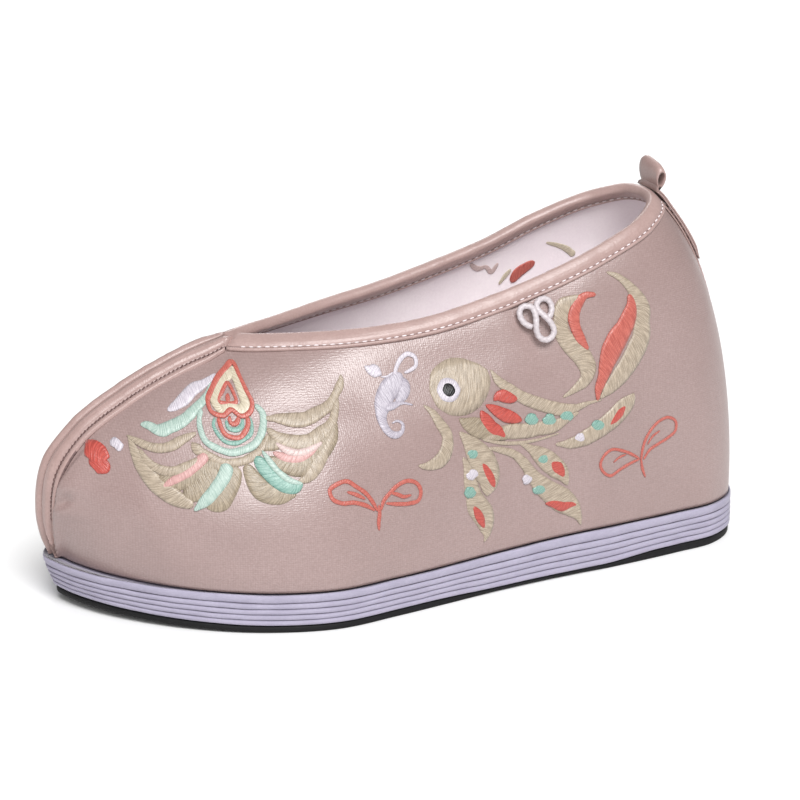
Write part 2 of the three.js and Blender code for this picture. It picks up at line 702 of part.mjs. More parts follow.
// Pull loop: a ribbon that runs up the back, round an open eye over the collar and down again.
function pullLoop() {
  const across = 5;
  const tail = climbBelow(OUTER, 0, LOOP_TAIL);
  const near = 1.15 * (CLEARANCE + BINDING) + CLEARANCE;
  const far = near + TAPE + CLEARANCE;
  const rise = new THREE.Vector3(Math.sin(LOOP_LEAN), 0, Math.cos(LOOP_LEAN));
  const back = new THREE.Vector3(-rise.z, 0, rise.x);
  const seat = skinPoint(OUTER, 0, 1)
    .addScaledVector(skinNormal(OUTER, 0, 1), (near + far + TAPE) / 2)
    .addScaledVector(back, LOOP_SETBACK);
  const ply = (lift, turned) =>
    Array.from({ length: 7 }, (_, i) => {
      const climb = mix(tail, 1, i / 6);
      const faces = [lift, lift + TAPE].map((each) => backRow(climb, LOOP_WIDTH, each, across));
      const [first, second] = turned ? faces.reverse() : faces;
      return [...first, ...second.reverse()];
    });
  const eye = EYE_WIDTH / 2 + TAPE;
  const turnRow = (angle) => {
    const line = (radius, tall) =>
      Array.from({ length: across }, (_, k) => {
        const y = mix(-LOOP_WIDTH / 2, LOOP_WIDTH / 2, k / (across - 1));
        const up = 0.5 - 0.5 * Math.cos(angle);
        return seat
          .clone()
          .addScaledVector(rise, (tall - LOOP_SKEW * y) * up)
          .addScaledVector(back, -radius * Math.sin(angle) * (1.15 - 0.3 * Math.cos(angle)))
          .add(new THREE.Vector3(0, y, 0));
      });
    return [...line(eye, LOOP_RISE), ...line(eye - TAPE, LOOP_RISE - 1.2 * TAPE).reverse()];
  };
  const turns = Array.from({ length: 11 }, (_, i) => turnRow(mix(0.12, 0.88, i / 10) * 2 * Math.PI));
  return loft([...ply(near, false), ...turns, ...ply(far, true).reverse()]);
}

// Ornamental knot on the outer side: one cord laid in three loops on the upper.
function cordKnot() {
  const { foot, climb } = KNOT_PLACE;
  const seat = lifted(OUTER, foot, climb, CLEARANCE + CORD / 2);
  const normal = skinNormal(OUTER, foot, climb);
  const up = new THREE.Vector3(0, 0, 1).projectOnPlane(normal).normalize();
  const heelward = new THREE.Vector3(-1, 0, 0).projectOnPlane(normal).normalize();
  const grow = KNOT_HEIGHT / KNOT_ROUTE_HEIGHT;
  const points = KNOT_ROUTE.map(({ back, up: rise }) =>
    seat.clone().addScaledVector(heelward, back * grow).addScaledVector(up, rise * grow),
  );
  const section = new THREE.Shape().absarc(0, 0, CORD / 2, 0, 2 * Math.PI);
  const stretch = (from, to) =>
    new THREE.ExtrudeGeometry(section, {
      steps: 2 * (to - from),
      curveSegments: 4,
      extrudePath: new THREE.CatmullRomCurve3(points.slice(from, to + 1)),
      bevelEnabled: false,
    });
  const middle = KNOT_ROUTE.length / 2;
  const halves = [stretch(0, middle), stretch(middle - 1, KNOT_ROUTE.length - 1)];
  const [first, second] = halves.map((half) => solidOf(outwards(bare(half))));
  return geometryOf(first.add(second));
}

function piece(name, geometry, color, roughness) {
  const mesh = new THREE.Mesh(geometry, new THREE.MeshStandardMaterial({ color, roughness, metalness: 0 }));
  mesh.name = name;
  return mesh;
}

const sole = new THREE.Group();
sole.add(piece("outsole", outsole(), RUBBER_BLACK, 0.7));
sole.add(piece("layered_sole", layeredSole(), BAND_CLOTH, 0.85));
sole.add(piece("wedge_footbed", footbed(), LINING_CLOTH, 0.8));

const top = new THREE.Group();
top.add(piece("upper", upper(), SATIN, 0.55));
top.add(piece("collar_binding", collarBinding(), SATIN, 0.5));
top.add(piece("front_seam_outer", frontSeam(OUTER), SATIN, 0.5));
top.add(piece("front_seam_inner", frontSeam(INNER), SATIN, 0.5));
top.add(piece("back_tape", backTape(), SATIN, 0.5));
top.add(piece("pull_loop", pullLoop(), SATIN, 0.5));
top.add(piece("cord_knot", cordKnot(), CORD_WHITE, 0.6));

const shoe = new THREE.Group();
shoe.add(sole, top);
shoe.position.x = -HEEL_CENTRE;

export default shoe;
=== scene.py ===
"""Hanfu cloth shoe for the left foot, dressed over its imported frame.

Lengths are millimetres inside the classes and metres in the scene. The shoe's own x runs from the
heel end to the toe, y to the outer side and z up from the floor.
"""

import logging
import math
from dataclasses import dataclass, field
from enum import Enum
from typing import Callable, NamedTuple, Sequence

import bmesh
import bpy
import numpy as np
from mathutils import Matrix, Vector, kdtree


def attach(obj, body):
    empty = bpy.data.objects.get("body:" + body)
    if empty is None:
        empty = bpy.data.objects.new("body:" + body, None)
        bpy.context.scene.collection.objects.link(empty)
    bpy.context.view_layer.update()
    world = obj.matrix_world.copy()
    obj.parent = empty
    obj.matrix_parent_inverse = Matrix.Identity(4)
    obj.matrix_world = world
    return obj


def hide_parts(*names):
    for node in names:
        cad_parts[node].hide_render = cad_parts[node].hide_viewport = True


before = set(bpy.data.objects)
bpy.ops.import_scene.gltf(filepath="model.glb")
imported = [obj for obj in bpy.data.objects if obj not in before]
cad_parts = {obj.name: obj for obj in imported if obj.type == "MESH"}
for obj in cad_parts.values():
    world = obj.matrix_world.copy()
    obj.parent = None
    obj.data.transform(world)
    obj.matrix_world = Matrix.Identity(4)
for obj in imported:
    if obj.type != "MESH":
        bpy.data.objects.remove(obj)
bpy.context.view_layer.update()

LOG = logging.getLogger("shoe")
OUTER = 1
INNER = -1
SIDES = (OUTER, INNER)
BODY = "root"
# Face kinds: the first and the second finish of a piece.
MAIN, SECOND = 0, 1


@dataclass(frozen=True)
class Sizes:
    """Driving sizes of the shoe, in millimetres, as in its solid model."""

    sole_length: float = 242.0
    ball_width: float = 90.0
    heel_width: float = 62.0
    heel_centre: float = 32.0
    toe_spring: float = 3.2
    spring_start: float = 174.0
    arch_rise: float = 0.4
    rubber: float = 2.2
    rubber_heel: float = 2.8
    rubber_waist: float = 1.5
    rubber_inset: float = 0.6
    ply_count: int = 5
    sole_top: float = 13.0
    heel_lift: float = 1.8
    groove: float = 0.8
    toe_undercut: float = 3.6
    side_ledge: float = 0.9
    toe_ledge: float = 4.6
    wall: float = 1.6
    clearance: float = 0.3
    back_height: float = 117.5
    throat_height: float = 85.0
    back_setback: float = 31.5
    throat_reach: float = 181.5
    collar_width: float = 42.0
    ridge_reach: float = 241.0
    toe_swing: float = 8.0
    binding_width: float = 5.5
    mitre_width: float = 6.9
    binding_turn: float = 4.6
    binding: float = 0.7
    seam_width: float = 8.3
    strip_width: float = 12.0
    tape: float = 0.8
    loop_width: float = 12.0
    loop_rise: float = 8.8
    strap: float = 0.55
    loop_tail: float = 31.0
    loop_lean: float = -0.04
    loop_setback: float = 1.2
    loop_skew: float = 0.2
    eye_width: float = 2.9
    seat_height: float = 58.0
    forepart_thickness: float = 3.0
    cord: float = 2.0
    toe_puff: float = 1.9
    puff_gap: float = 1.5


SIZES = Sizes()
# Shares of the sole edge, heel to toe, under the throat and under the two ends of the collar's mitre.
THROAT_FOOT = 0.715
MITRE_FOOT = THROAT_FOOT - 0.011
MITRE_LOW_FOOT = THROAT_FOOT + 0.003


class SoleRow(NamedTuple):
    """One station of the sole's half outlines, as shares of its length and width."""

    along: float
    outer: float
    inner: float
    ball: float


SOLE_ROWS = tuple(
    SoleRow(*row)
    for row in (
        (0, 0, 0, 0), (0.005, 0.19, 0.19, 0), (0.028, 0.35, 0.345, 0), (0.066, 0.455, 0.44, 0),
        (0.13, 0.505, 0.49, 0), (0.235, 0.526, 0.474, 0.15), (0.36, 0.526, 0.442, 0.35),
        (0.475, 0.53, 0.43, 0.6), (0.58, 0.539, 0.445, 0.85), (0.675, 0.545, 0.461, 1),
        (0.76, 0.488, 0.472, 1), (0.845, 0.37, 0.446, 1), (0.912, 0.235, 0.385, 1),
        (0.962, 0.095, 0.295, 1), (0.99, -0.03, 0.205, 1), (1, -0.122, 0.122, 1),
    )
)


class CollarRow(NamedTuple):
    """One station of the collar edge: shares of its length, half width and rise.

    dip lowers the inner side and sag the outer one, as shares of the rise.
    """

    along: float
    out: float
    up: float
    dip: float
    sag: float


COLLAR_ROWS = tuple(
    CollarRow(*row)
    for row in (
        (0, 0, 1.07, 0, 0), (0.014, 0.44, 1.06, 0, 0.02), (0.065, 0.79, 0.975, 0, 0.05),
        (0.2, 1, 0.78, 0.02, 0.12), (0.333, 1.01, 0.585, 0.065, 0.145), (0.467, 0.97, 0.395, 0.045, 0.135),
        (0.6, 0.91, 0.215, 0.01, 0.09), (0.733, 0.78, 0.105, 0, 0.045), (0.867, 0.47, 0.03, 0, 0.01),
        (0.95, 0.22, 0.005, 0, 0), (1, 0, 0, 0, 0),
    )
)

# Front seam from the throat to the sole: (share of its reach, share of the throat's rise).
RIDGE_ROWS = (
    (0, 1), (0.25, 0.915), (0.57, 0.775), (0.825, 0.62), (0.968, 0.455), (1, 0.29), (0.985, 0.12), (0.94, 0),
)


class Meridian(NamedTuple):
    """One line of the upper from the sole edge to its top edge, as two handles of a curve."""

    foot: float
    edge: float
    lean: float
    rise: float
    heading: float
    slope: float
    reach: float


MERIDIANS = tuple(
    Meridian(*row)
    for row in (
        (0, 0, 0.03, 0.34, 180, 38, 0.3), (0.06, 0.035, 0.02, 0.34, 155, 41, 0.28),
        (0.12, 0.1, 0.02, 0.36, 123, 47, 0.24), (0.2, 0.21, 0.06, 0.37, 102, 53, 0.22),
        (0.31, 0.35, 0.07, 0.38, 93, 55, 0.21), (0.43, 0.53, 0.09, 0.38, 89, 52, 0.22),
        (0.55, 0.72, 0.12, 0.38, 84, 41, 0.25), (0.645, 0.88, 0.16, 0.37, 79, 30, 0.29),
        (0.715, 1, 0.19, 0.37, 79, 26, 0.32), (0.8, 1.19, 0.24, 0.38, 82, 23, 0.35),
        (0.87, 1.38, 0.28, 0.4, 86, 20, 0.38), (0.93, 1.59, 0.3, 0.4, 90, 16, 0.42),
        (0.97, 1.79, 0.25, 0.38, 90, 18, 0.42), (1, 2, 0.1, 0.35, 90, 30, 0.4),
    )
)

# Side profile of the wedge footbed: (share of the sole's length, share of the heel seat's rise).
SEAT_ROWS = (
    (-0.05, 1.03), (0.08, 1), (0.2, 0.97), (0.34, 0.76), (0.48, 0.42), (0.6, 0.15), (0.7, 0.03), (0.8, 0),
    (1.05, 0),
)

# Cord of the knot from its middle, in millimetres: (towards the heel, up, lift off the cloth).
KNOT_ROUTE = (
    (-2.0, -2.7, 0), (-3.9, -1.7, 0), (-5.2, -0.4, 0), (-5.9, 1.3, 0), (-5.9, 3.0, 0), (-4.9, 4.2, 0.1),
    (-3.2, 4.3, 0.4), (-2.0, 3.7, 0.9), (-1.3, 2.0, 1.3), (-1.1, 0.1, 1.6), (-1.3, -1.9, 1.7),
    (-1.3, -3.7, 1.3), (-0.7, -5.5, 0.7), (0.6, -6.9, 0.4), (2.3, -7.3, 0.3), (3.9, -6.6, 0.4),
    (4.8, -5.1, 0.6), (4.4, -3.1, 1.1), (3.1, -1.2, 1.6), (1.6, 0.6, 1.5), (0.3, 2.3, 1.0),
    (-0.3, 3.9, 0.8), (0.4, 5.2, 0.5), (2.1, 6.1, 0.1), (3.6, 5.8, 0), (4.7, 4.6, 0), (5.1, 3.0, 0),
    (4.7, 1.2, 0), (3.4, -0.6, 0),
)
KNOT_SEAT = (84.6, 87.6)


class Fold(NamedTuple):
    """A soft ridge, or a trough if height is negative, on one side of the upper."""

    side: int
    x: float
    z: float
    length: float
    width: float
    angle: float
    height: float


FOLDS = tuple(
    Fold(*row)
    for row in (
        (OUTER, 88, 88, 15, 5, 62, -0.8), (OUTER, 81, 84, 13, 4.5, 70, 0.55),
        (OUTER, 97, 92, 16, 6, 60, 0.4), (OUTER, 150, 60, 34, 9, 12, 0.5),
        (OUTER, 165, 77, 26, 6, -14, 0.45), (OUTER, 205, 72, 20, 6, -38, 0.5),
        (OUTER, 237.3, 38.5, 3.0, 1.2, -60, -1.5), (OUTER, 236.5, 43.5, 4, 2.6, 8, 0.55),
        (OUTER, 236.5, 35, 4, 2.6, 8, 0.45), (OUTER, 216, 34, 14, 5, 70, 0.6),
        (OUTER, 60, 70, 30, 10, 80, 0.45), (OUTER, 130, 74, 40, 8, -9, -1.5),
        (OUTER, 178, 66, 16, 7, -22, -0.5), (OUTER, 30, 76, 24, 9, 70, -0.4),
        (OUTER, 122, 26, 40, 8, 4, -0.45), (OUTER, 190, 26, 30, 7, 6, -0.5),
        (INNER, 90, 84, 18, 7, 66, -0.6), (INNER, 120, 62, 30, 9, 18, 0.6),
        (INNER, 170, 74, 30, 7, -16, 0.5), (INNER, 60, 66, 26, 10, 78, -0.5),
        (INNER, 205, 66, 24, 7, -36, 0.5), (INNER, 220, 30, 10, 4, 80, -0.6),
        (INNER, 140, 28, 40, 9, 4, -0.4),
    )
)

Array = np.ndarray


def mix(a: Array | float, b: Array | float, t: Array | float) -> Array | float:
    """Value between a and b at share t."""
    return a + (b - a) * t


def smoothstep(low: float, high: float, x: Array | float) -> Array | float:
    """Smooth rise from 0 at low to 1 at high."""
    t = np.clip((x - low) / (high - low), 0.0, 1.0)
    return t * t * (3 - 2 * t)


class Span(NamedTuple):
    """Stretch over which something sets in."""

    low: float
    high: float

    def rise(self, x: Array | float) -> Array | float:
        """Smooth rise from 0 before the stretch to 1 after it."""
        return smoothstep(self.low, self.high, x)

    def fall(self, x: Array | float) -> Array | float:
        """Smooth fall from 1 before the stretch to 0 after it."""
        return 1 - self.rise(x)


# Shares of the sole's length.
HEEL_LIFT_END = Span(0.26, 0.56)
RUBBER_HEEL_END = Span(0.16, 0.26)
RUBBER_FORE_START = Span(0.42, 0.54)
ARCH_START = Span(0.24, 0.3)
ARCH_END = Span(0.42, 0.5)
TOE_SWING = Span(0.45, 1.08)
SPRING_POWER = 1.7
# Shares of the sole edge from heel to toe.
BINDING_GROWTH = Span(0.5, 0.7)
TOE_LEDGE = Span(0.78, 1.0)
TOE_UNDERCUT = Span(0.74, 1.0)
LEVEL_AT_TOE = Span(0.985, 1.0)
PUFF_START = Span(0.89, 0.95)
# Climbs up the upper, from 0 at the sole to 1 at the top edge.
LEVEL_AT_SOLE = Span(0.0, 0.06)
FOLD_START = Span(0.0, 0.1)
FOLD_END = Span(0.9, 1.0)
PUFF_RISE = Span(0.0, 0.04)
# Climbs below the seam's edge.
PUFF_NEAR = Span(-0.01, 0.035)
PUFF_FAR = Span(0.1, 0.5)
# Edge numbers of the top line, from 1 at the throat to 2 at the toe.
RIDGE_TO_TOE = Span(1.55, 2.0)
# Small steps over which directions are taken, and the last shares at which they can be.
EDGE_STEP = 0.002
SKIN_STEP = 0.004
LAST_FOOT = 0.995
LAST_LEVEL_FOOT = 0.985
NEAR_TOP = 0.97
# Lowest sine between the top edge and the line down the upper, along the collar and along the seam.
COLLAR_LEAST_SINE = 0.5
SEAM_LEAST_SINE = 0.3
TINY = 1e-9


def unit(v: Array) -> Array:
    """Vectors scaled to length 1."""
    return v / np.maximum(np.linalg.norm(v, axis=-1, keepdims=True), TINY)


def chord_runs(points: Array) -> Array:
    """Running chord length of a row of points."""
    return np.concatenate([[0.0], np.linalg.norm(np.diff(points, axis=0), axis=1).cumsum()])


def chord_shares(points: Array) -> Array:
    """Running chord length of a row of points, as shares from 0 to 1."""
    runs = chord_runs(points)
    return runs / runs[-1]


def matched(*values: Array | float) -> Sequence[Array]:
    """Values as arrays of numbers that share one shape."""
    return np.broadcast_arrays(*(np.asarray(value, float) for value in values))


def wrapped(rows: Array) -> Array:
    """A grid of point numbers whose rows end where they start."""
    return np.concatenate([rows, rows[:, :1]], 1)


def to_scene(points: Array) -> list[list[float]]:
    """Points of the shoe in the frame's place and unit."""
    return ((points - [SIZES.heel_centre, 0, 0]) / 1000).tolist()


class SmoothCurve:
    """Smooth curve through points over rising knots."""

    def __init__(
        self, knots: Sequence[float], points: Sequence[Sequence[float]], closed: bool = False
    ) -> None:
        """Works out the slope at each knot.

        Args:
            knots: rising values, one for each point.
            points: rows of numbers that the curve passes.
            closed: whether the last point is the first again.
        """
        self.knots = np.asarray(knots, float)
        self.points = np.asarray(points, float)
        self.closed = closed
        step = np.diff(self.knots)[:, None]
        slope = np.diff(self.points, axis=0) / step
        self.tangents = np.empty_like(self.points)
        self.tangents[1:-1] = (slope[:-1] * step[1:] + slope[1:] * step[:-1]) / (step[:-1] + step[1:])
        if closed:
            ends = (slope[-1] * step[0] + slope[0] * step[-1]) / (step[0] + step[-1])
            self.tangents[0] = self.tangents[-1] = ends
        else:
            self.tangents[0], self.tangents[-1] = slope[0], slope[-1]

    def __call__(self, at: Array | float) -> Array:
        """Points of the curve.

        Args:
            at: knot values, of any shape.

        Returns:
            The points, with one more axis than at.
        """
        at = np.asarray(at, float)
        t = np.mod(at, 1.0) if self.closed else np.clip(at, self.knots[0], self.knots[-1])
        i = np.clip(np.searchsorted(self.knots, t, "left") - 1, 0, len(self.knots) - 2)
        d = self.knots[i + 1] - self.knots[i]
        u = ((t - self.knots[i]) / d)[..., None]
        d = d[..., None]
        return (
            self.points[i] * (2 * u**3 - 3 * u**2 + 1)
            + self.tangents[i] * (u**3 - 2 * u**2 + u) * d
            + self.points[i + 1] * (3 * u**2 - 2 * u**3)
            + self.tangents[i + 1] * (u**3 - u**2) * d
        )


class ShoeForm:
    """The shoe's surfaces as functions of its sizes: sole outline, collar, front seam and upper."""

    def __init__(self, sizes: Sizes) -> None:
        """Builds the curves that carry the form.

        Args:
            sizes: driving sizes.
        """
        self.s = sizes
        loop = [self._sole_point(row, OUTER) for row in SOLE_ROWS]
        loop += [self._sole_point(row, INNER) for row in reversed(SOLE_ROWS[:-1])]
        knots = chord_shares(np.array(loop))
        self.toe_knot = knots[len(SOLE_ROWS) - 1]
        self.sole_curve = SmoothCurve(knots, loop, closed=True)
        self.collar = {side: self._collar_curve(side) for side in SIDES}
        along, up = np.array(RIDGE_ROWS, float).T
        ridge_x = mix(sizes.throat_reach, sizes.ridge_reach, along)
        ridge_z = mix(self.feather_height + sizes.toe_spring, sizes.throat_height, up)
        ridge = np.stack([ridge_x, ridge_z], -1)
        self.ridge = SmoothCurve(chord_shares(ridge), ridge)
        self.meridians = SmoothCurve([row.foot for row in MERIDIANS], [row[1:] for row in MERIDIANS])
        seat = np.array([(along * sizes.sole_length, up) for along, up in SEAT_ROWS])
        self.seat_curve = SmoothCurve(seat[:, 0], seat[:, 1:])
        self._lookup: dict[int, tuple[kdtree.KDTree, Array]] = {}
        self.toe_feet = np.linspace(0.86, 0.99, 40)
        below_seam = sizes.seam_width + sizes.puff_gap
        self.toe_climbs = {
            side: self.climb_below(side, self.toe_feet, below_seam, SEAM_LEAST_SINE) for side in SIDES
        }

    @property
    def feather_height(self) -> float:
        """Height of the upper's lower edge at the ball."""
        return self.s.sole_top + self.s.clearance

    def _sole_point(self, row: SoleRow, side: int) -> tuple[float, float]:
        """Point of the sole outline at one station."""
        share = row.outer if side == OUTER else row.inner
        width = mix(self.s.heel_width, self.s.ball_width, row.ball)
        return row.along * self.s.sole_length, side * share * width

    def _collar_curve(self, side: int) -> SmoothCurve:
        """Collar edge of one side, from 0 at the back to 1 at the throat."""

        def point(row: CollarRow, on: int) -> tuple[float, float, float]:
            up = row.up - (row.dip if on == INNER else row.sag)
            return (
                mix(self.s.back_setback, self.s.throat_reach, row.along),
                on * row.out * self.s.collar_width / 2,
                mix(self.s.throat_height, self.s.back_height, up),
            )

        line = [point(row, -side) for row in reversed(COLLAR_ROWS[1:])]
        line += [point(row, side) for row in COLLAR_ROWS]
        knots = chord_shares(np.array(line))
        back = knots[len(COLLAR_ROWS) - 1]
        return SmoothCurve((knots - back) / (1 - back), line)

    def binding_span(self, foot: Array) -> Array:
        """Width of the collar binding: it widens towards the mitre."""
        return mix(self.s.binding_width, self.s.mitre_width, BINDING_GROWTH.rise(foot))

    def spring(self, x: Array) -> Array:
        """Toe spring: lift of the whole sole."""
        t = np.maximum(0.0, (x - self.s.spring_start) / (self.s.sole_length - self.s.spring_start))
        return self.s.toe_spring * t**SPRING_POWER

    def lift(self, x: Array) -> Array:
        """Lift of the layered sole's top over its height at the ball."""
        return self.spring(x) + self.s.heel_lift * HEEL_LIFT_END.fall(x / self.s.sole_length)

    def rubber_top(self, x: Array) -> Array:
        """Height of the rubber's upper face."""
        share = x / self.s.sole_length
        heel = (self.s.rubber_heel - self.s.rubber_waist) * RUBBER_HEEL_END.fall(share)
        fore = (self.s.rubber - self.s.rubber_waist) * RUBBER_FORE_START.rise(share)
        return self.s.rubber_waist + heel + fore + self.spring(x)

    def arch(self, x: Array) -> Array:
        """Hollow under the waist of the rubber."""
        share = x / self.s.sole_length
        return self.s.arch_rise * (ARCH_START.rise(share) - ARCH_END.rise(share))

    def swing(self, x: Array) -> Array:
        """Sideways lie of the middle of the forefoot."""
        low, high = (share * self.s.sole_length for share in TOE_SWING)
        return -self.s.toe_swing * smoothstep(low, high, x)

    def sole_edge(self, side: int, foot: Array, inset: Array | float = 0.0) -> tuple[Array, Array]:
        """Sole outline moved inwards.

        Args:
            side: OUTER or INNER.
            foot: shares of the half outline from heel to toe.
            inset: distance inwards.

        Returns:
            Points in plan and the outline's outward directions.
        """
        foot = np.asarray(foot, float)
        share = foot * self.toe_knot if side == OUTER else 1 - foot * (1 - self.toe_knot)
        run = self.sole_curve(share + EDGE_STEP) - self.sole_curve(share - EDGE_STEP)
        away = unit(np.stack([-run[..., 1], run[..., 0]], -1))
        return self.sole_curve(share) - away * np.asarray(inset, float)[..., None], away

    def feather(self, side: int, foot: Array) -> tuple[Array, Array]:
        """Lower edge of the upper on the sole, and the level outward direction there."""
        ledge = mix(self.s.side_ledge, self.s.toe_ledge, TOE_LEDGE.rise(foot))
        plan, away = self.sole_edge(side, foot, ledge)
        point = np.concatenate([plan, (self.feather_height + self.lift(plan[..., 0]))[..., None]], -1)
        return point, np.concatenate([away, np.zeros_like(away[..., :1])], -1)

    def top(self, side: int, edge: Array) -> Array:
        """Top edge of the upper: the collar up to edge 1, then the front seam up to edge 2."""
        collar = self.collar[side](np.minimum(edge, 1.0))
        collar[..., 1] += self.swing(collar[..., 0])
        plan = self.ridge(np.clip(edge - 1, 0, 1))
        toe = self.feather(side, np.array(1.0))[0]
        down = RIDGE_TO_TOE.rise(edge)
        x = plan[..., 0] + (toe[0] - self.ridge(1.0)[0]) * down
        y = mix(self.swing(plan[..., 0]), toe[1], down)
        z = plan[..., 1] + (toe[2] - self.feather_height - self.s.toe_spring) * down
        return np.where((edge <= 1)[..., None], collar, np.stack([x, y, z], -1))

    def skin(self, side: int, foot: Array, climb: Array) -> Array:
        """Outer face of the upper.

        Args:
            side: OUTER or INNER.
            foot: shares along the sole edge from heel to toe; below 0 goes on to the other side.
            climb: shares from the sole to the top edge.

        Returns:
            The points.
        """
        foot, climb = matched(foot, climb)
        if (foot < 0).any():
            across = self.skin(-side, np.maximum(-foot, 0), climb)
            return np.where((foot < 0)[..., None], across, self.skin(side, np.maximum(foot, 0), climb))
        edge, lean, rise, heading, slope, reach = np.moveaxis(self.meridians(foot), -1, 0)
        edge = np.where(np.abs(foot - THROAT_FOOT) < TINY, 1.0, edge)
        base, away = self.feather(side, foot)
        top = self.top(side, edge)
        chord = np.linalg.norm(base - top, axis=-1)[..., None]
        lower = base + away * (lean * rise)[..., None] * chord
        lower[..., 2] += (rise[..., None] * chord)[..., 0]
        plan, fall = np.radians(heading), np.radians(slope)
        leave = np.stack([np.cos(plan) * np.cos(fall), side * np.sin(plan) * np.cos(fall), -np.sin(fall)], -1)
        upper = top + leave * reach[..., None] * chord
        t = climb[..., None]
        return base * (1 - t) ** 3 + lower * 3 * (1 - t) ** 2 * t + upper * 3 * (1 - t) * t**2 + top * t**3

    def _side_normal(self, side: int, foot: Array, climb: Array) -> Array:
        """Outward direction of one half of the upper."""
        fore = self.skin(side, np.minimum(foot + SKIN_STEP, LAST_FOOT), climb)
        aft = self.skin(side, np.minimum(foot, LAST_FOOT) - SKIN_STEP, climb)
        at = np.minimum(foot, LAST_LEVEL_FOOT)
        above = self.skin(side, at, np.minimum(climb + SKIN_STEP, 1))
        below = self.skin(side, at, np.maximum(climb - SKIN_STEP, 0))
        return unit(-side * np.cross(fore - aft, above - below))

    def normal(self, side: int, foot: Array, climb: Array) -> Array:
        """Outward direction of the upper: level at the sole and shared by both halves on the seam."""
        foot, climb = matched(foot, climb)
        own = self._side_normal(side, foot, climb)
        level = self.feather(side, np.abs(foot))[1]
        level = np.where((foot < 0)[..., None], self.feather(-side, np.abs(foot))[1], level)
        flat = np.maximum(LEVEL_AT_SOLE.fall(climb), LEVEL_AT_TOE.rise(foot))[..., None]
        return unit(mix(own, level, flat))

    def folds(self, side: int, points: Array) -> Array:
        """Lift of the creases at points of the upper."""
        lift = np.zeros(points.shape[:-1])
        for fold in FOLDS:
            if fold.side == side:
                turn = math.radians(fold.angle)
                dx, dz = points[..., 0] - fold.x, points[..., 2] - fold.z
                run = dx * math.cos(turn) + dz * math.sin(turn)
                across = dz * math.cos(turn) - dx * math.sin(turn)
                lift += fold.height * np.exp(-((run / fold.length) ** 2) - (across / fold.width) ** 2)
        return lift

    def cloth(self, side: int, foot: Array, climb: Array, lift: Array | float = 0.0) -> Array:
        """Points at a lift off the creased outer face."""
        foot, climb = matched(foot, climb)
        skin = self.skin(side, foot, climb)
        calm = FOLD_START.rise(climb) * FOLD_END.fall(climb)
        own = np.where(foot < 0, self.folds(-side, skin), self.folds(side, skin)) * calm
        below = np.interp(foot, self.toe_feet, self.toe_climbs[side]) - climb
        puff = self.s.toe_puff * PUFF_START.rise(foot) * PUFF_NEAR.rise(below) * PUFF_FAR.fall(below)
        own = own + puff * PUFF_RISE.rise(climb)
        return skin + self.normal(side, foot, climb) * (own + lift)[..., None]

    def off(self, side: int, foot: Array, climb: Array, lift: Array | float) -> Array:
        """Points at a lift off the smooth outer face; a negative lift lies inside it."""
        lift = np.asarray(lift, float)[..., None]
        return self.skin(side, foot, climb) + self.normal(side, foot, climb) * lift

    def beside(self, side: int, points: Array, least: float = 0.0) -> Array:
        """Points of one side, none nearer to the middle line of the forefoot than the least."""
        middle = self.swing(points[..., 0])
        points[..., 1] = middle + side * np.maximum(side * (points[..., 1] - middle), least)
        return points

    def climb_below(
        self, side: int, foot: Array, width: Array | float, least: float = COLLAR_LEAST_SINE
    ) -> Array:
        """Climb of the points that lie a width below the top edge, square to it.

        Args:
            side: OUTER or INNER.
            foot: shares along the sole edge, one row.
            width: distance from the top edge.
            least: lowest sine allowed between the edge and the line down the upper.

        Returns:
            The climbs.
        """
        foot = np.asarray(foot, float)
        climbs = np.linspace(1.0, 0.0, 201)
        rows = self.skin(side, foot[..., None], climbs)
        runs = np.linalg.norm(np.diff(rows, axis=-2), axis=-1).cumsum(-1)
        edge = unit(self.skin(side, np.maximum(foot - SKIN_STEP, 0.001), 1.0) - rows[..., 0, :])
        down = unit(self.skin(side, foot, NEAR_TOP) - rows[..., 0, :])
        sine = np.maximum(np.sqrt(np.maximum(1 - (edge * down).sum(-1) ** 2, 0)), least)
        want = np.asarray(width, float) / sine
        flat_runs = np.concatenate([np.zeros_like(runs[..., :1]), runs], -1).reshape(-1, len(climbs))
        flat_want = np.broadcast_to(want, foot.shape).reshape(-1)
        found = [np.interp(w, r, climbs) for w, r in zip(flat_want, flat_runs)]
        return np.array(found).reshape(foot.shape)

    def place(self, side: int, x: Array, z: Array) -> tuple[Array, Array]:
        """Foot and climb of the upper's points that a side view shows at x and z.

        Args:
            side: OUTER or INNER.
            x: lengths from the heel end.
            z: heights over the floor.

        Returns:
            The foot shares and the climbs.
        """
        if side not in self._lookup:
            feet, climbs = np.linspace(0, LAST_FOOT, 300), np.linspace(0.01, LAST_FOOT, 120)
            foot, climb = np.meshgrid(feet, climbs, indexing="ij")
            grid = self.skin(side, foot, climb).reshape(-1, 3)
            tree = kdtree.KDTree(len(grid))
            for i, point in enumerate(grid):
                tree.insert((point[0], point[2], 0.0), i)
            tree.balance()
            self._lookup[side] = (tree, np.stack([foot.ravel(), climb.ravel()], -1))
        tree, shares = self._lookup[side]
        near = np.array([shares[tree.find((a, b, 0.0))[1]] for a, b in zip(x.ravel(), z.ravel())])
        foot, climb = near[:, 0].reshape(x.shape), near[:, 1].reshape(x.shape)
        for _ in range(3):
            here = self.skin(side, foot, climb)[..., (0, 2)]
            ahead = self.skin(side, np.minimum(foot + EDGE_STEP, 1), climb)[..., (0, 2)]
            above = self.skin(side, foot, np.minimum(climb + EDGE_STEP, 1))[..., (0, 2)]
            by_foot, by_climb = (ahead - here) / EDGE_STEP, (above - here) / EDGE_STEP
            miss = np.stack([x, z], -1) - here
            det = by_foot[..., 0] * by_climb[..., 1] - by_foot[..., 1] * by_climb[..., 0]
            det = np.where(np.abs(det) < 1.0, np.inf, det)
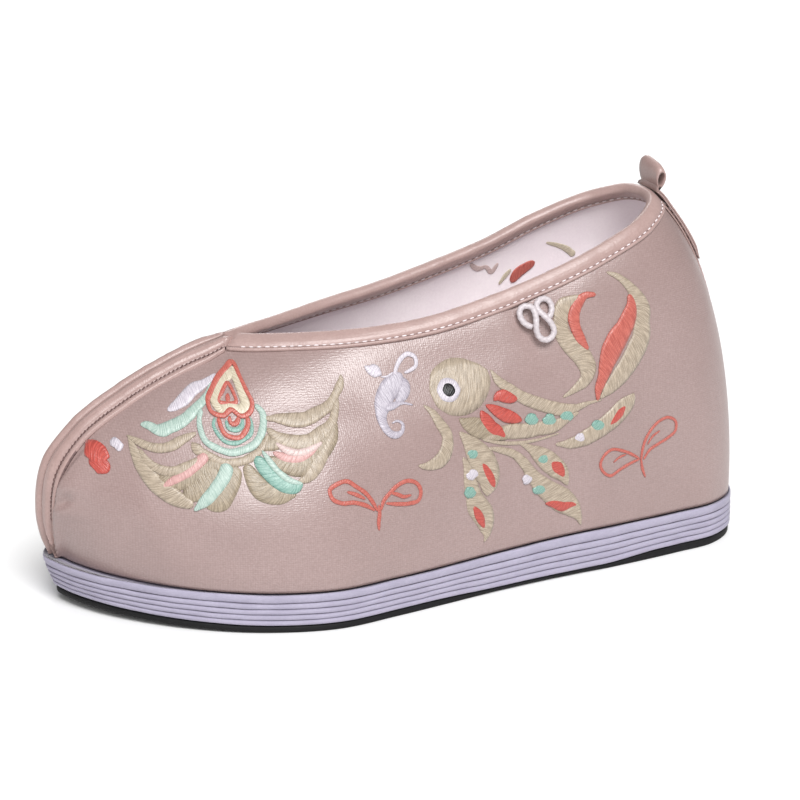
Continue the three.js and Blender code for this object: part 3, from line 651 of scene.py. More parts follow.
            move_foot = (miss[..., 0] * by_climb[..., 1] - miss[..., 1] * by_climb[..., 0]) / det
            move_climb = (miss[..., 1] * by_foot[..., 0] - miss[..., 0] * by_foot[..., 1]) / det
            foot = np.clip(foot + np.clip(move_foot, -0.01, 0.01), 0.0, 0.997)
            climb = np.clip(climb + np.clip(move_climb, -0.02, 0.02), 0.005, 0.997)
        return foot, climb

    def met(self, points: dict[int, Array]) -> Array:
        """Points where the two halves meet on the middle line of the forefoot."""
        middle = (points[OUTER] + points[INNER]) / 2
        middle[..., 1] = self.swing(middle[..., 0])
        return middle


def linear(code: str) -> tuple[float, float, float, float]:
    """Scene colour of an sRGB hex code."""
    shares = [int(code[i : i + 2], 16) / 255 for i in (0, 2, 4)]
    r, g, b = (c / 12.92 if c <= 0.04045 else ((c + 0.055) / 1.055) ** 2.4 for c in shares)
    return r, g, b, 1.0


def add_node(tree: bpy.types.NodeTree, kind: str, inputs: dict | None = None, **settings) -> bpy.types.Node:
    """Adds one node.

    Args:
        tree: node tree that gets it.
        kind: the node's type name.
        inputs: socket name or number to a value, or to the socket that feeds it.
        settings: properties of the node.

    Returns:
        The node.
    """
    node = tree.nodes.new(kind)
    for name, value in settings.items():
        setattr(node, name, value)
    for name, value in (inputs or {}).items():
        if isinstance(value, bpy.types.NodeSocket):
            tree.links.new(value, node.inputs[name])
        else:
            node.inputs[name].default_value = value
    return node


class Coordinates(Enum):
    """What a finish's pattern follows."""

    OBJECT = "Object"
    UV = "UV"


class Motion(Enum):
    """How a pattern varies: unevenly, or in threads across one axis."""

    NOISE = ""
    THREADS_ACROSS_X = "X"
    THREADS_ACROSS_Z = "Z"


WAVE_PERIOD = math.tau / 20


@dataclass(frozen=True)
class Pattern:
    """Relief and shade of a finish, with its own grain size along each axis.

    size is millimetres a grain, depth the relief in millimetres, shade the share of the second colour.
    """

    size: tuple[float, float, float]
    depth: float = 0.0
    shade: float = 0.0
    detail: float = 2.0
    motion: Motion = Motion.NOISE

    def height(self, tree: bpy.types.NodeTree, where: bpy.types.NodeSocket) -> bpy.types.NodeSocket:
        """Adds the pattern's nodes.

        Args:
            tree: node tree that gets them.
            where: coordinates in metres.

        Returns:
            The pattern's value, from 0 to 1.
        """
        threads = self.motion is not Motion.NOISE
        unit_size = WAVE_PERIOD * 1000 if threads else 1000
        scale = tuple(unit_size / each for each in self.size)
        spread = add_node(tree, "ShaderNodeVectorMath", {0: where, 1: scale}, operation="MULTIPLY").outputs[0]
        if threads:
            settings = {"Scale": 1.0, "Distortion": 1.4, "Detail": self.detail, "Detail Scale": 2.0}
            inputs = {"Vector": spread, **settings}
            wave = add_node(tree, "ShaderNodeTexWave", inputs, bands_direction=self.motion.value)
            return wave.outputs["Fac"]
        noise = add_node(tree, "ShaderNodeTexNoise", {"Vector": spread, "Scale": 1.0, "Detail": self.detail})
        return noise.outputs[0]


@dataclass(frozen=True)
class Finish:
    """One material of the shoe."""

    name: str
    colour: str
    second: str
    roughness: float
    patterns: tuple[Pattern, ...] = ()
    sheen: float = 0.0
    sheen_tint: str = "ffffff"
    specular: float = 0.5
    follows: Coordinates = Coordinates.OBJECT

    def material(self) -> bpy.types.Material:
        """The material, made on first use."""
        found = bpy.data.materials.get(self.name)
        if found:
            return found
        made = bpy.data.materials.new(self.name)
        made.use_nodes = True
        tree = made.node_tree
        tree.nodes.clear()
        surface = {
            "Base Color": linear(self.colour),
            "Roughness": self.roughness,
            "Specular IOR Level": self.specular,
            "Sheen Weight": self.sheen,
            "Sheen Roughness": 0.4,
            "Sheen Tint": linear(self.sheen_tint),
        }
        shader = add_node(tree, "ShaderNodeBsdfPrincipled", surface)
        out = add_node(tree, "ShaderNodeOutputMaterial", {"Surface": shader.outputs[0]})
        out.is_active_output = True
        self._dress(tree, shader)
        return made

    def _dress(self, tree: bpy.types.NodeTree, shader: bpy.types.Node) -> None:
        """Adds the patterns to the shader's colour and normal.

        Args:
            tree: the material's nodes.
            shader: its surface shader.
        """
        if not self.patterns:
            return
        where = add_node(tree, "ShaderNodeTexCoord").outputs[self.follows.value]
        colour, normal = linear(self.colour), None
        for pattern in self.patterns:
            height = pattern.height(tree, where)
            if pattern.shade:
                shares = {"Value": height, "From Min": 0.35, "From Max": 0.65, "To Max": pattern.shade}
                share = add_node(tree, "ShaderNodeMapRange", shares).outputs[0]
                colours = {0: share, 6: colour, 7: linear(self.second)}
                colour = add_node(tree, "ShaderNodeMix", colours, data_type="RGBA").outputs[2]
            if pattern.depth:
                relief = {"Height": height, "Distance": pattern.depth / 1000, "Strength": 1.0}
                if normal:
                    relief["Normal"] = normal
                normal = add_node(tree, "ShaderNodeBump", relief).outputs[0]
        if isinstance(colour, bpy.types.NodeSocket):
            tree.links.new(colour, shader.inputs["Base Color"])
        if normal:
            tree.links.new(normal, shader.inputs["Normal"])


def even(grain: float, **settings) -> Pattern:
    """Pattern with the same grain size along every axis."""
    return Pattern((grain,) * 3, **settings)


# A satin's floats lie along the shoe, so its grain is drawn out lengthwise; threads are drawn coarser
# than real ones, which would be too fine to show.
SATIN = Finish(
    "silk satin", "a38c89", "87706c", 0.36,
    (
        even(30, depth=1.0, shade=0.25),
        even(0.7, depth=0.012, shade=0.2, motion=Motion.THREADS_ACROSS_X),
        Pattern((0.7, 0.7, 0.66), depth=0.012, shade=0.2, motion=Motion.THREADS_ACROSS_Z),
        Pattern((0.9, 0.9, 0.5), depth=0.1, shade=0.45),
    ),
    sheen=0.05, sheen_tint="ffe9e4", specular=0.95,
)
# The bias-cut binding is the same cloth over padding: paler, with a softer gloss and no drawn-out grain.
BINDING = Finish(
    "padded satin binding", "ae948f", "957b76", 0.34,
    (even(7, depth=0.25, shade=0.3), even(0.7, depth=0.08, shade=0.3)),
    sheen=0.08, sheen_tint="fff0ec",
)
# Painted shade: the stitched grooves are coloured darker for the shade that falls in them.
GROOVE = Finish("seam groove painted shade", "7d6664", "5e4c4b", 0.9, (even(0.9, depth=0.1, shade=0.7),))
# Brushed cotton: no gloss, a little fluff that lightens its edges.
LINING = Finish(
    "brushed cotton lining", "fbf3f5", "eee2e8", 0.9,
    (even(18, depth=0.5, shade=0.4), even(0.9, depth=0.08, shade=0.25, detail=4)),
    sheen=0.35, specular=0.2,
)
# Pasted layers of cotton with a plain weave; slightly blue beside the satin.
SOLE_CLOTH = Finish(
    "pasted cotton plies", "a8a3b5", "8f8a9d", 0.85,
    (Pattern((9, 9, 4), depth=0.1, shade=0.35), Pattern((0.8, 0.8, 0.6), depth=0.05, shade=0.25, detail=3)),
    sheen=0.2, specular=0.25,
)
# Painted shade: grey in the seams between the plies and in the rings under the upper's edge.
PLY_SEAM = Finish(
    "grey ply seam painted shade", "77717f", "5c5763", 0.95, (Pattern((2.5, 2.5, 1.0), shade=0.6),), specular=0.1
)
# Dull moulded rubber: dark, soft-edged highlight.
RUBBER = Finish(
    "moulded black rubber", "09080a", "121113", 0.7, (even(1.4, depth=0.05, shade=0.5, detail=3),),
    specular=0.35,
)
CORD = Finish("glossy white cord", "cbc2c5", "b0a6aa", 0.4, (even(0.8, depth=0.08, shade=0.5),), sheen=0.1)
PALE_THREAD = Finish("pale cotton stitch", "ece2e4", "d8cccf", 0.6, (even(1.5, shade=0.5),))
DARK_THREAD = Finish("brown cotton stitch", "6b504d", "563f3d", 0.7, (even(1.5, shade=0.5),))
FLOOR = Finish("matt white paper", "f3f3f3", "f3f3f3", 0.95, specular=0.1)


class Thread(Enum):
    """Colours of the embroidery thread: its own colour, then the darker colour painted between the strands as
    shade.
    """

    CORAL = ("c66f63", "9b4940")
    RED = ("c55a50", "963b34")
    GOLD = ("bcad9a", "87796a")
    GOLD_DARK = ("ac9d88", "776a59")
    CREAM = ("d6ccb8", "a99d86")
    MINT = ("92b4a8", "5c877c")
    MINT_PALE = ("b9c9c0", "869f95")
    PINK = ("d3a6a2", "a87f7b")
    PINK_PALE = ("d8c4c0", "b29a96")
    WHITE = ("dad3da", "a59ea8")
    GREY = ("c4bdc6", "8f8894")
    BLACK = ("110f13", "0a090b")

    def finish(self) -> Finish:
        """Rayon thread: strands laid side by side, each with a bright line of gloss, with painted shade in
        the troughs between them.

        The strands are drawn about twice as coarse as real ones, so that they show.
        """
        # The strands' second colour darkens the troughs between them: painted shade.
        strands = Pattern((0.3, 7, 1), depth=0.13, shade=0.75, detail=0)
        return Finish(
            "rayon thread " + self.name.lower(),
            *self.value,
            0.34,
            (strands, Pattern((0.5, 0.9, 1), depth=0.06, shade=0.4)),
            sheen=0.15,
            follows=Coordinates.UV,
        )


# Distance under which points become one, in millimetres, and shortest edge, in metres.
MERGE = 2e-3
FINE_MERGE = 1e-4
SHORTEST_EDGE = 1e-7


@dataclass
class Build:
    """Mesh of one piece while it is put together, in millimetres."""

    points: list[Array] = field(default_factory=list)
    wraps: list[Array] = field(default_factory=list)
    faces: list[Sequence[int]] = field(default_factory=list)
    kinds: list[int] = field(default_factory=list)
    kind: int = 0
    count: int = 0

    def add(self, points: Array, wrap: Array | None = None) -> Array:
        """Adds points.

        Args:
            points: an array of points of any shape.
            wrap: their places in the UV map, in millimetres.

        Returns:
            The points' numbers, in the same shape.
        """
        shape = points.shape[:-1]
        size = int(np.prod(shape))
        self.points.append(points.reshape(-1, 3))
        self.wraps.append(np.zeros((size, 2)) if wrap is None else wrap.reshape(-1, 2))
        self.count += size
        return np.arange(self.count - size, self.count).reshape(shape)

    def face(self, numbers: Sequence[int]) -> None:
        """Adds one face."""
        self.faces.append([int(n) for n in numbers])
        self.kinds.append(self.kind)

    def join(self, index: Array) -> None:
        """Adds the faces between the rows of a grid of point numbers."""
        quads = np.stack([index[:-1, :-1], index[1:, :-1], index[1:, 1:], index[:-1, 1:]], -1).reshape(-1, 4)
        self.faces.extend(quads.tolist())
        self.kinds.extend([self.kind] * len(quads))

    def paint(self, index: Array, kind: int = SECOND) -> None:
        """Gives another finish to the faces whose corners are all among some points."""
        chosen = set(index.ravel().tolist())
        self.kinds = [kind if chosen.issuperset(face) else old for face, old in zip(self.faces, self.kinds)]

    def grid(self, points: Array, wrap: Array | None = None) -> Array:
        """Adds a grid of points with its faces, and returns their numbers."""
        index = self.add(points, wrap)
        self.join(index)
        return index

    def loft(self, rings: Array, wrap: Array | None = None) -> Array:
        """Adds a closed body through rings of points, with a flat face at each end.

        Args:
            rings: rows of points, one row a ring.
            wrap: their places in the UV map.

        Returns:
            The points' numbers.
        """
        index = self.add(rings, wrap)
        self.join(wrapped(index))
        self.face(index[0])
        self.face(index[-1])
        return index

    def finish(
        self,
        name: str,
        finishes: Sequence[Finish],
        slot: str,
        nodes: Sequence[str] = (),
        merge: float = MERGE,
    ) -> bpy.types.Object:
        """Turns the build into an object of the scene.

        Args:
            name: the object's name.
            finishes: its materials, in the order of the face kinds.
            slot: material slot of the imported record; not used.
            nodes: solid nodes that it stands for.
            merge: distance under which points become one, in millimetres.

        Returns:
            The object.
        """
        mesh = bpy.data.meshes.new(name)
        mesh.from_pydata(to_scene(np.concatenate(self.points)), [], self.faces)
        mesh.polygons.foreach_set("material_index", self.kinds)
        layer = mesh.uv_layers.new(name="lay")
        corners = np.empty(len(mesh.loops), int)
        mesh.loops.foreach_get("vertex_index", corners)
        layer.data.foreach_set("uv", (np.concatenate(self.wraps)[corners] / 1000).ravel())
        draft = bmesh.new()
        draft.from_mesh(mesh)
        bmesh.ops.remove_doubles(draft, verts=draft.verts, dist=merge / 1000)
        bmesh.ops.dissolve_degenerate(draft, edges=draft.edges, dist=SHORTEST_EDGE)
        bmesh.ops.recalc_face_normals(draft, faces=draft.faces)
        draft.to_mesh(mesh)
        draft.free()
        mesh.shade_smooth()
        return dress(bpy.data.objects.new(name, mesh), finishes, nodes)


def dress(
    obj: bpy.types.Object, finishes: Sequence[Finish], nodes: Sequence[str] = ()
) -> bpy.types.Object:
    """Puts an object in the scene with its materials and body.

    Args:
        obj: the new object.
        finishes: its materials.
        nodes: solid nodes that it stands for.

    Returns:
        The same object.
    """
    for finish in finishes:
        obj.data.materials.append(finish.material())
    bpy.context.scene.collection.objects.link(obj)
    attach(obj, BODY)
    if nodes:
        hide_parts(*nodes)
    LOG.info("%s: %d faces", obj.name, len(obj.data.polygons))
    return obj


# Waves of a ripple: (share, length in millimetres, shift, share of the seed).
RIPPLES = ((0.5, 1.9, 0.0, 1), (0.3, 1.13, 1.3, 2), (0.2, 0.71, 0.0, -1))


def ripple(run: Array, seed: float = 0.0) -> Array:
    """Uneven wave between about -1 and 1 over a length in millimetres."""
    return sum(share * np.sin(run / length + shift + turns * seed) for share, length, shift, turns in RIPPLES)


@dataclass(frozen=True)
class Stitch:
    """Stitches of one kind of row, in millimetres; slant is a sideways share of their length."""

    pitch: float
    length: float
    girth: float
    finish: Finish = PALE_THREAD
    slant: float = 0.0


BINDING_STITCH = Stitch(2.6, 1.75, 0.5)
SEAM_STITCH = Stitch(1.55, 1.4, 0.5, DARK_THREAD, 0.6)
TAPE_STITCH = Stitch(2.8, 2.0, 0.4)
LOOP_STITCH = Stitch(2.4, 1.7, 0.36)


@dataclass
class Upper:
    """Satin upper with its lining: one shell, open at the collar and underneath."""

    form: ShoeForm
    collar_steps: int = 130
    seam_steps: int = 90
    climb_steps: int = 90
    lining_end: float = 0.95

    def build(self) -> None:
        """Makes the shell."""
        form = self.form
        collar_feet = np.linspace(0, THROAT_FOOT, self.collar_steps + 1)
        feet = np.concatenate([collar_feet, np.linspace(THROAT_FOOT, 1, self.seam_steps + 1)[1:]])
        climbs = np.linspace(0, 1, self.climb_steps + 1)
        on_seam = feet >= THROAT_FOOT - TINY
        collar = ~on_seam
        collar[np.argmax(on_seam)] = True
        inside_feet = np.minimum(feet, self.lining_end)[:, None]
        inside = {side: form.off(side, inside_feet, climbs, -form.s.wall) for side in SIDES}
        inside = {side: form.beside(side, points) for side, points in inside.items()}
        met = form.met({side: inside[side][on_seam, -1] for side in SIDES})
        build = Build()
        ends = {}
        for side in SIDES:
            inside[side][on_seam, -1] = met
            shown = build.grid(form.cloth(side, feet[:, None], climbs[None, :]))
            build.kind = SECOND
            hidden = build.grid(inside[side])
            build.kind = MAIN
            build.join(np.stack([shown[collar, -1], hidden[collar, -1]]))
            build.join(np.stack([shown[:, 0], hidden[:, 0]]))
            ends[side] = (shown[-1, 0], hidden[-1])
        build.kind = SECOND
        build.join(np.stack([ends[OUTER][1], ends[INNER][1]]))
        build.face([ends[OUTER][0], ends[OUTER][1][0], ends[INNER][1][0]])
        build.finish("satin_upper", (SATIN, LINING), "satin", ["upper"])


# Outer face of the binding from its lower edge up: (share of its width, share of its thickness). The
# dip is the stitched groove; below it the edge stands up as a narrow piped strip.
BINDING_FACE = (
    (0, 0.05), (0.02, 0.65), (0.09, 1.15), (0.17, 1.05), (0.22, 0.35), (0.27, 0.35), (0.33, 0.8),
    (0.47, 1.2), (0.7, 1.35), (0.88, 1.25), (1, 1.1),
)
STITCH_SHARE = 0.245
BEAM_SHARE = 0.32


@dataclass
class CollarBinding:
    """Padded satin binding folded over the collar edge."""

    form: ShoeForm
    steps: int = 190
    across: int = 24
    round_steps: int = 9
    pucker: float = 0.07
    groove_reach: float = 0.035
    stitch_lift: float = 0.62
    padding: float = 1.15
    mitre_slope: float = 0.0016
    mitre_lift: float = 0.15

    def build(self) -> None:
        """Makes the binding and both its rows of stitches."""
        s = self.form.s
        feet = np.linspace(0, THROAT_FOOT, self.steps + 1)
        shares = np.linspace(0, 1, self.across)
        build = Build()
        index = build.loft(np.concatenate([self._section(INNER, feet[:0:-1]), self._section(OUTER, feet)]))
        # Painted shade: the stitched groove's faces take the darker groove finish.
        build.paint(index[:, np.flatnonzero(np.abs(shares - STITCH_SHARE) < self.groove_reach)])
        build.finish("satin_collar_binding", (BINDING, GROOVE), "binding_satin", ["collar_binding"])
        feet = feet[feet < MITRE_FOOT]
        rise = s.clearance + s.binding * self.stitch_lift
        for name, width, lift in (
            ("outside", self.form.binding_span(feet), rise),
            ("inside", s.binding_turn, -s.wall - rise),
        ):
            line, facing = [], []
            for side, own in ((INNER, feet[:0:-1]), (OUTER, feet)):
                span = width[:0:-1] if side == INNER and np.ndim(width) else width
                climbs = self.form.climb_below(side, own, span * (1 - STITCH_SHARE))
                line.append(self.form.off(side, own, climbs, lift))
                facing.append(np.sign(lift) * self.form.normal(side, own, 0.95))
            rows = np.concatenate(line), np.concatenate(facing)
            STITCHES.row("binding_stitches_" + name, *rows, BINDING_STITCH)

    def _section(self, side: int, feet: Array) -> Array:
        """Closed sections of the binding at the feet of one side."""
        form, s = self.form, self.form.s
        top = form.skin(side, feet, 1.0)
        rise = unit(top - form.skin(side, feet, NEAR_TOP))
        normal = form.normal(side, feet, 1.0)
        wave = self.pucker * ripple(chord_runs(top), 1.0 + side)
        profile = tuple(zip(*BINDING_FACE))
        columns = []
        shares = np.linspace(0, 1, self.across)
        for share in shares:
            lift = s.clearance + s.binding * np.interp(share, *profile) + wave * math.sin(math.pi * share)
            end = mix(MITRE_LOW_FOOT, MITRE_FOOT, share)
            drop = smoothstep(end - self.mitre_slope, end, feet) if share > BEAM_SHARE else feet > end
            climbs = form.climb_below(side, feet, form.binding_span(feet) * (1 - share))
            columns.append(form.off(side, feet, climbs, mix(lift, self.mitre_lift, drop)))
        tall = s.clearance + s.binding * self.padding
        middle = top - normal * s.wall / 2
        for turn in np.linspace(0, math.pi, self.round_steps)[1:-1]:
            round_off = (s.wall / 2 + tall) * math.cos(turn) + wave * 0.5
            height = (tall * self.padding + wave) * math.sin(turn)
            columns.append(middle + normal * round_off[:, None] + rise * height[:, None])
        for share in shares[::-1]:
            lift = s.wall + s.clearance + s.binding * np.interp(share, *profile) + wave * share
            climbs = form.climb_below(side, feet, s.binding_turn * (1 - share))
            columns.append(form.off(side, feet, climbs, -lift))
        rings = np.stack(columns, 1)
        kept = form.beside(side, rings.copy())
        return np.where((feet > MITRE_FOOT)[:, None, None], kept, rings)


# Face of a front seam's bound edge from the ridge outwards: (share of its width, lift in millimetres).
# The two beads differ; the dip is the stitched groove and the last rise the narrow piped strip.
SEAM_STRIP = (
    (0.56, 0.35), (0.66, 0.3), (0.72, 0.8), (0.8, 1.25), (0.9, 1.15), (0.97, 0.5), (1, 0.0),
)
SEAM_FACE = {
    OUTER: ((0, 0.05), (0.03, 0.7), (0.1, 1.35), (0.24, 1.8), (0.4, 1.6), (0.5, 1.1), *SEAM_STRIP),
    INNER: ((0, 0.15), (0.03, 1.3), (0.1, 2.3), (0.22, 2.7), (0.4, 2.0), (0.5, 1.2), *SEAM_STRIP),
}
GROOVE_SHARE = 0.61
# Beyond this share of the width, near the toe, the strip's outer edge is coloured dark: painted shade where
# the strip meets the satin.
SHADED_EDGE_SHARE = 0.93
# Shares of the sole edge: where the seam's width settles, where it grows at the toe, where the painted shade
# along the strip's outer edge starts, and its stitches' end.
SEAM_SETTLING = Span(MITRE_FOOT, MITRE_FOOT + 0.05)
SEAM_SPREADING = Span(MITRE_FOOT, 0.79)
SEAM_GROWTH = Span(0.92, 0.978)
SHADED_EDGE_START = 0.925
STITCH_END = 0.975


@dataclass
class FrontSeam:
    """Bound edge of one side of the centre-front seam, with its piped strip and topstitch."""

    form: ShoeForm
    side: int
    node: str
    steps: int = 190
    across: int = 34
    end: float = 0.997
    length: float = 120.0
    toe_growth: float = 2.6
    crowding: float = 0.62
    pucker: float = 0.025
    groove_reach: float = 0.055
    stitch_lift: float = 0.5
    underside: float = 0.02
    half_gap: float = 0.12
    inner_start: float = 0.55
    mitre_before: float = 0.0002
    mitre_after: float = 0.0016

    def build(self) -> None:
        """Makes the edge and its row of stitches."""
        feet = np.linspace(MITRE_FOOT, self.end, self.steps + 1)
        shares = np.linspace(0, 1, self.across)
        run = np.linspace(0, self.length, len(feet))
        profile = tuple(zip(*SEAM_FACE[self.side]))
        columns = [
            self._at(feet, share, float(np.interp(share, *profile)) * (1 + self.pucker * ripple(run, share)))
            for share in shares
        ]
        columns += [self._at(feet, share, np.full(len(feet), self.underside)) for share in (0.7, 0.3)]
        build = Build()
        index = build.loft(np.stack(columns, 1))
        # Painted shade: the stitched groove's faces take the darker groove finish.
        build.paint(index[:, np.flatnonzero(np.abs(shares - GROOVE_SHARE) < self.groove_reach)])
        # Painted shade: a dark line along the strip's outer edge near the toe, where it meets the satin.
        build.paint(index[feet > SHADED_EDGE_START][:, np.flatnonzero(shares > SHADED_EDGE_SHARE)])
        build.finish("satin_" + self.node, (BINDING, GROOVE), "binding_satin", [self.node])
        feet = feet[(feet > MITRE_LOW_FOOT) & (feet < STITCH_END)]
        line = self._at(feet, GROOVE_SHARE, np.full(len(feet), self.stitch_lift))
        climbs = self.form.climb_below(self.side, feet, self.form.s.seam_width)
        facing = self.form.normal(self.side, feet, climbs)
        STITCHES.row("seam_stitches_" + self.node, line, facing, SEAM_STITCH)

    def _at(self, feet: Array, share: float, lift: Array) -> Array:
        """Points at a share of the width, kept on their own side of the ridge."""
        form = self.form
        start = mix(MITRE_FOOT, MITRE_LOW_FOOT, share**self.crowding)
        feet = np.maximum(feet, start)
        settled = SEAM_SETTLING.rise(feet)
        if share < GROOVE_SHARE:
            lift = lift * smoothstep(start - self.mitre_before, start + self.mitre_after, feet)
        if self.side == INNER:
            lift = lift * mix(self.inner_start, 1.0, settled)
        across = share ** mix(self.crowding, 1.0, SEAM_SPREADING.rise(feet))
        width = mix(form.s.mitre_width, form.s.seam_width, settled) + self.toe_growth * SEAM_GROWTH.rise(feet)
        climbs = form.climb_below(self.side, feet, width * across, SEAM_LEAST_SINE)
        return form.beside(self.side, form.off(self.side, feet, climbs, lift), self.half_gap)


@dataclass
class HeelTape:
    """Satin tape up the back seam, and the doubled pull loop over it."""

    form: ShoeForm
    rows: int = 60
    across: int = 17
    foot_climb: float = 0.012
    top_share: float = 0.8
    ridges: float = 0.08
    underside: float = 0.2
    loop_rows: int = 30
    loop_across: int = 11
    loop_turns: int = 34
    loop_ridges: float = 0.14
    loop_flare: float = 0.12
    loop_round: float = 1.6
    loop_bow: float = 0.85
    loop_lobe: float = 0.15
    ply_gap: float = 1.15
    seat_plies: float = 1.5
    tail_ply: float = 0.35
    tail_length: float = 0.05
    binding_ramp: float = 0.09
    eye_start: float = 0.1

    def build(self) -> None:
        """Makes the tape, the loop and their stitches."""
        self._tape()
        self._loop()

    def _row(self, climbs: Array, width: float, lift: float, count: int) -> Array:
        """Points across the back seam at each climb."""
        form, step = self.form, 0.01
        stride = np.linalg.norm(form.skin(OUTER, step, climbs) - form.skin(OUTER, 0.0, climbs), axis=-1)
        across = np.linspace(-width / 2, width / 2, count)
        return form.off(OUTER, step * across[None, :] / stride[:, None], climbs[:, None], lift)

    def _climb(self, width: float) -> float:
        """Climb on the back seam that lies a width below the collar edge."""
        return float(self.form.climb_below(OUTER, np.array([0.0]), width)[0])

    def _tape(self) -> None:
        """Flat strip with rounded edges from the sole to the collar binding."""
        s = self.form.s
        climbs = np.linspace(self.foot_climb, self._climb(s.binding_width * self.top_share), self.rows)
        share = np.linspace(-1, 1, self.across)
        crown = s.tape * np.sqrt(np.maximum(1 - share**8, 0))
        outer = self._row(climbs, s.strip_width, s.clearance, self.across)
        normal = self._row(climbs, s.strip_width, s.clearance + 1, self.across) - outer
        face = outer + normal * (crown * (1 + self.ridges * np.cos(3 * math.pi * share)))[None, :, None]
        build = Build()
        build.loft(np.concatenate([face, (outer - self.underside * normal)[:, -2:0:-1]], 1))
        build.finish("satin_back_tape", (BINDING,), "binding_satin", ["back_tape"])
        for edge, label in ((2, "inner"), (self.across - 3, "outer")):
            STITCHES.row("tape_stitches_" + label, face[:, edge], normal[:, edge], TAPE_STITCH)

    def _loop(self) -> None:
        """Doubled strap on the tape, rising over the collar into an eye."""
        form, s, count = self.form, self.form.s, self.loop_across
        tail, bound = self._climb(s.loop_tail), self._climb(s.binding_width)
        near = self.ply_gap * (s.clearance + s.binding) + s.clearance
        climbs = np.linspace(tail, 1, self.loop_rows)
        share = np.linspace(-1, 1, count)
        crown = self.loop_ridges * np.cos(3 * math.pi * share) * (1 - share**6)
        over = smoothstep(bound - self.binding_ramp, bound + 0.01, climbs)[:, None, None]
        level = mix(s.clearance + s.tape + 0.05, near, over)
        low = self._row(climbs, s.loop_width, 0.0, count)
        normal = self._row(climbs, s.loop_width, 1.0, count) - low
        flat = FOLD_END.rise(climbs)[:, None]
        low[..., 0] = mix(low[..., 0], low[:, [count // 2], 0], flat)
        tapered = smoothstep(tail, tail + self.tail_length, climbs)
        ply = s.strap * mix(self.tail_ply, 1.0, tapered)[:, None, None]
        lifts = (level, level + ply, level + ply * self.ply_gap, level + ply * (1 + self.ply_gap))
        near_low, near_high, far_low, far_high = (
            low + normal * (lift + crown[None, :, None] * (k % 2)) for k, lift in enumerate(lifts)
        )
        first = np.concatenate([near_low, near_high[:, ::-1]], 1)
        last = np.concatenate([far_high, far_low[:, ::-1]], 1)[::-1]
        seat = form.off(OUTER, 0.0, 1.0, near + s.strap * self.seat_plies)
        build = Build()
        build.loft(np.concatenate([first, self._eye(seat, share), last]))
        build.finish("satin_pull_loop", (BINDING,), "binding_satin", ["pull_loop"])
        for edge, label in ((1, "inner"), (count - 2, "outer")):
            STITCHES.row("loop_stitches_" + label, far_high[:, edge], normal[:, edge], LOOP_STITCH)

    def _eye(self, seat: Array, share: Array) -> Array:
        """Rings of the strap's turn over the collar.

        Args:
            seat: point between the two plies at the collar edge.
            share: places across the strap, from -1 to 1.

        Returns:
            The rings, from the near ply round to the far one.
        """
        s = self.form.s
        rise = np.array([math.sin(s.loop_lean), 0, math.cos(s.loop_lean)])
        back = np.array([-rise[2], 0, rise[0]])
        seat = seat + back * s.loop_setback
        radius = s.eye_width / 2 + s.strap
        width = np.linspace(-s.loop_width / 2, s.loop_width / 2, len(share))
        rounding = self.loop_round * share**4
        turns = []
        for angle in np.linspace(self.eye_start, 1 - self.eye_start, self.loop_turns) * 2 * math.pi:
            up = 0.5 - 0.5 * math.cos(angle)
            lines = []
            for reach, tall in ((radius, s.loop_rise), (radius - s.strap, s.loop_rise - 1.2 * s.strap)):
                bow = -reach * math.sin(angle) * (self.loop_bow - self.loop_lobe * math.cos(angle))
                line = seat + rise * ((tall - s.loop_skew * width - rounding) * up)[:, None] + back * bow
                line[:, 1] += width * (1 + self.loop_flare * up)
                lines.append(line)
            turns.append(np.concatenate([lines[0], lines[1][::-1]]))
        return np.array(turns)


# Edge of one pasted ply from its lower seam up: (share of its height, share of the groove's depth).
PLY_EDGE = (
    (0, 1.0), (0.05, 0.9), (0.12, 0.35), (0.26, 0.08), (0.5, 0), (0.74, 0.08), (0.88, 0.35), (0.95, 0.9),
)
# Seams between the plies, as shares of the stack: the top ply is the thickest.
PLY_SEAMS = (0, 0.17, 0.345, 0.52, 0.7, 1)
# Top of the stack inwards: (inset, share of its height, face kind); the dark rings under the upper's edge are
# painted shade of the gap between upper and sole.
STACK_TOP = ((0.25, 0.975, MAIN), (0.6, 0.955, SECOND), (1.2, 0.955, SECOND), (9.0, 0.955, MAIN))
UNDER_UPPER = Span(0.25, 0.6)
# Rings of the rubber from the middle of its underside to that of its top: (inset, on top, lift).
RUBBER_RINGS = (
    (7, False, 0.01), (0.7, False, 0), (0.25, False, 0.12), (0, False, 0.5),
    (0, True, -0.4), (0.2, True, -0.08), (0.6, True, 0), (7, True, 0),
)


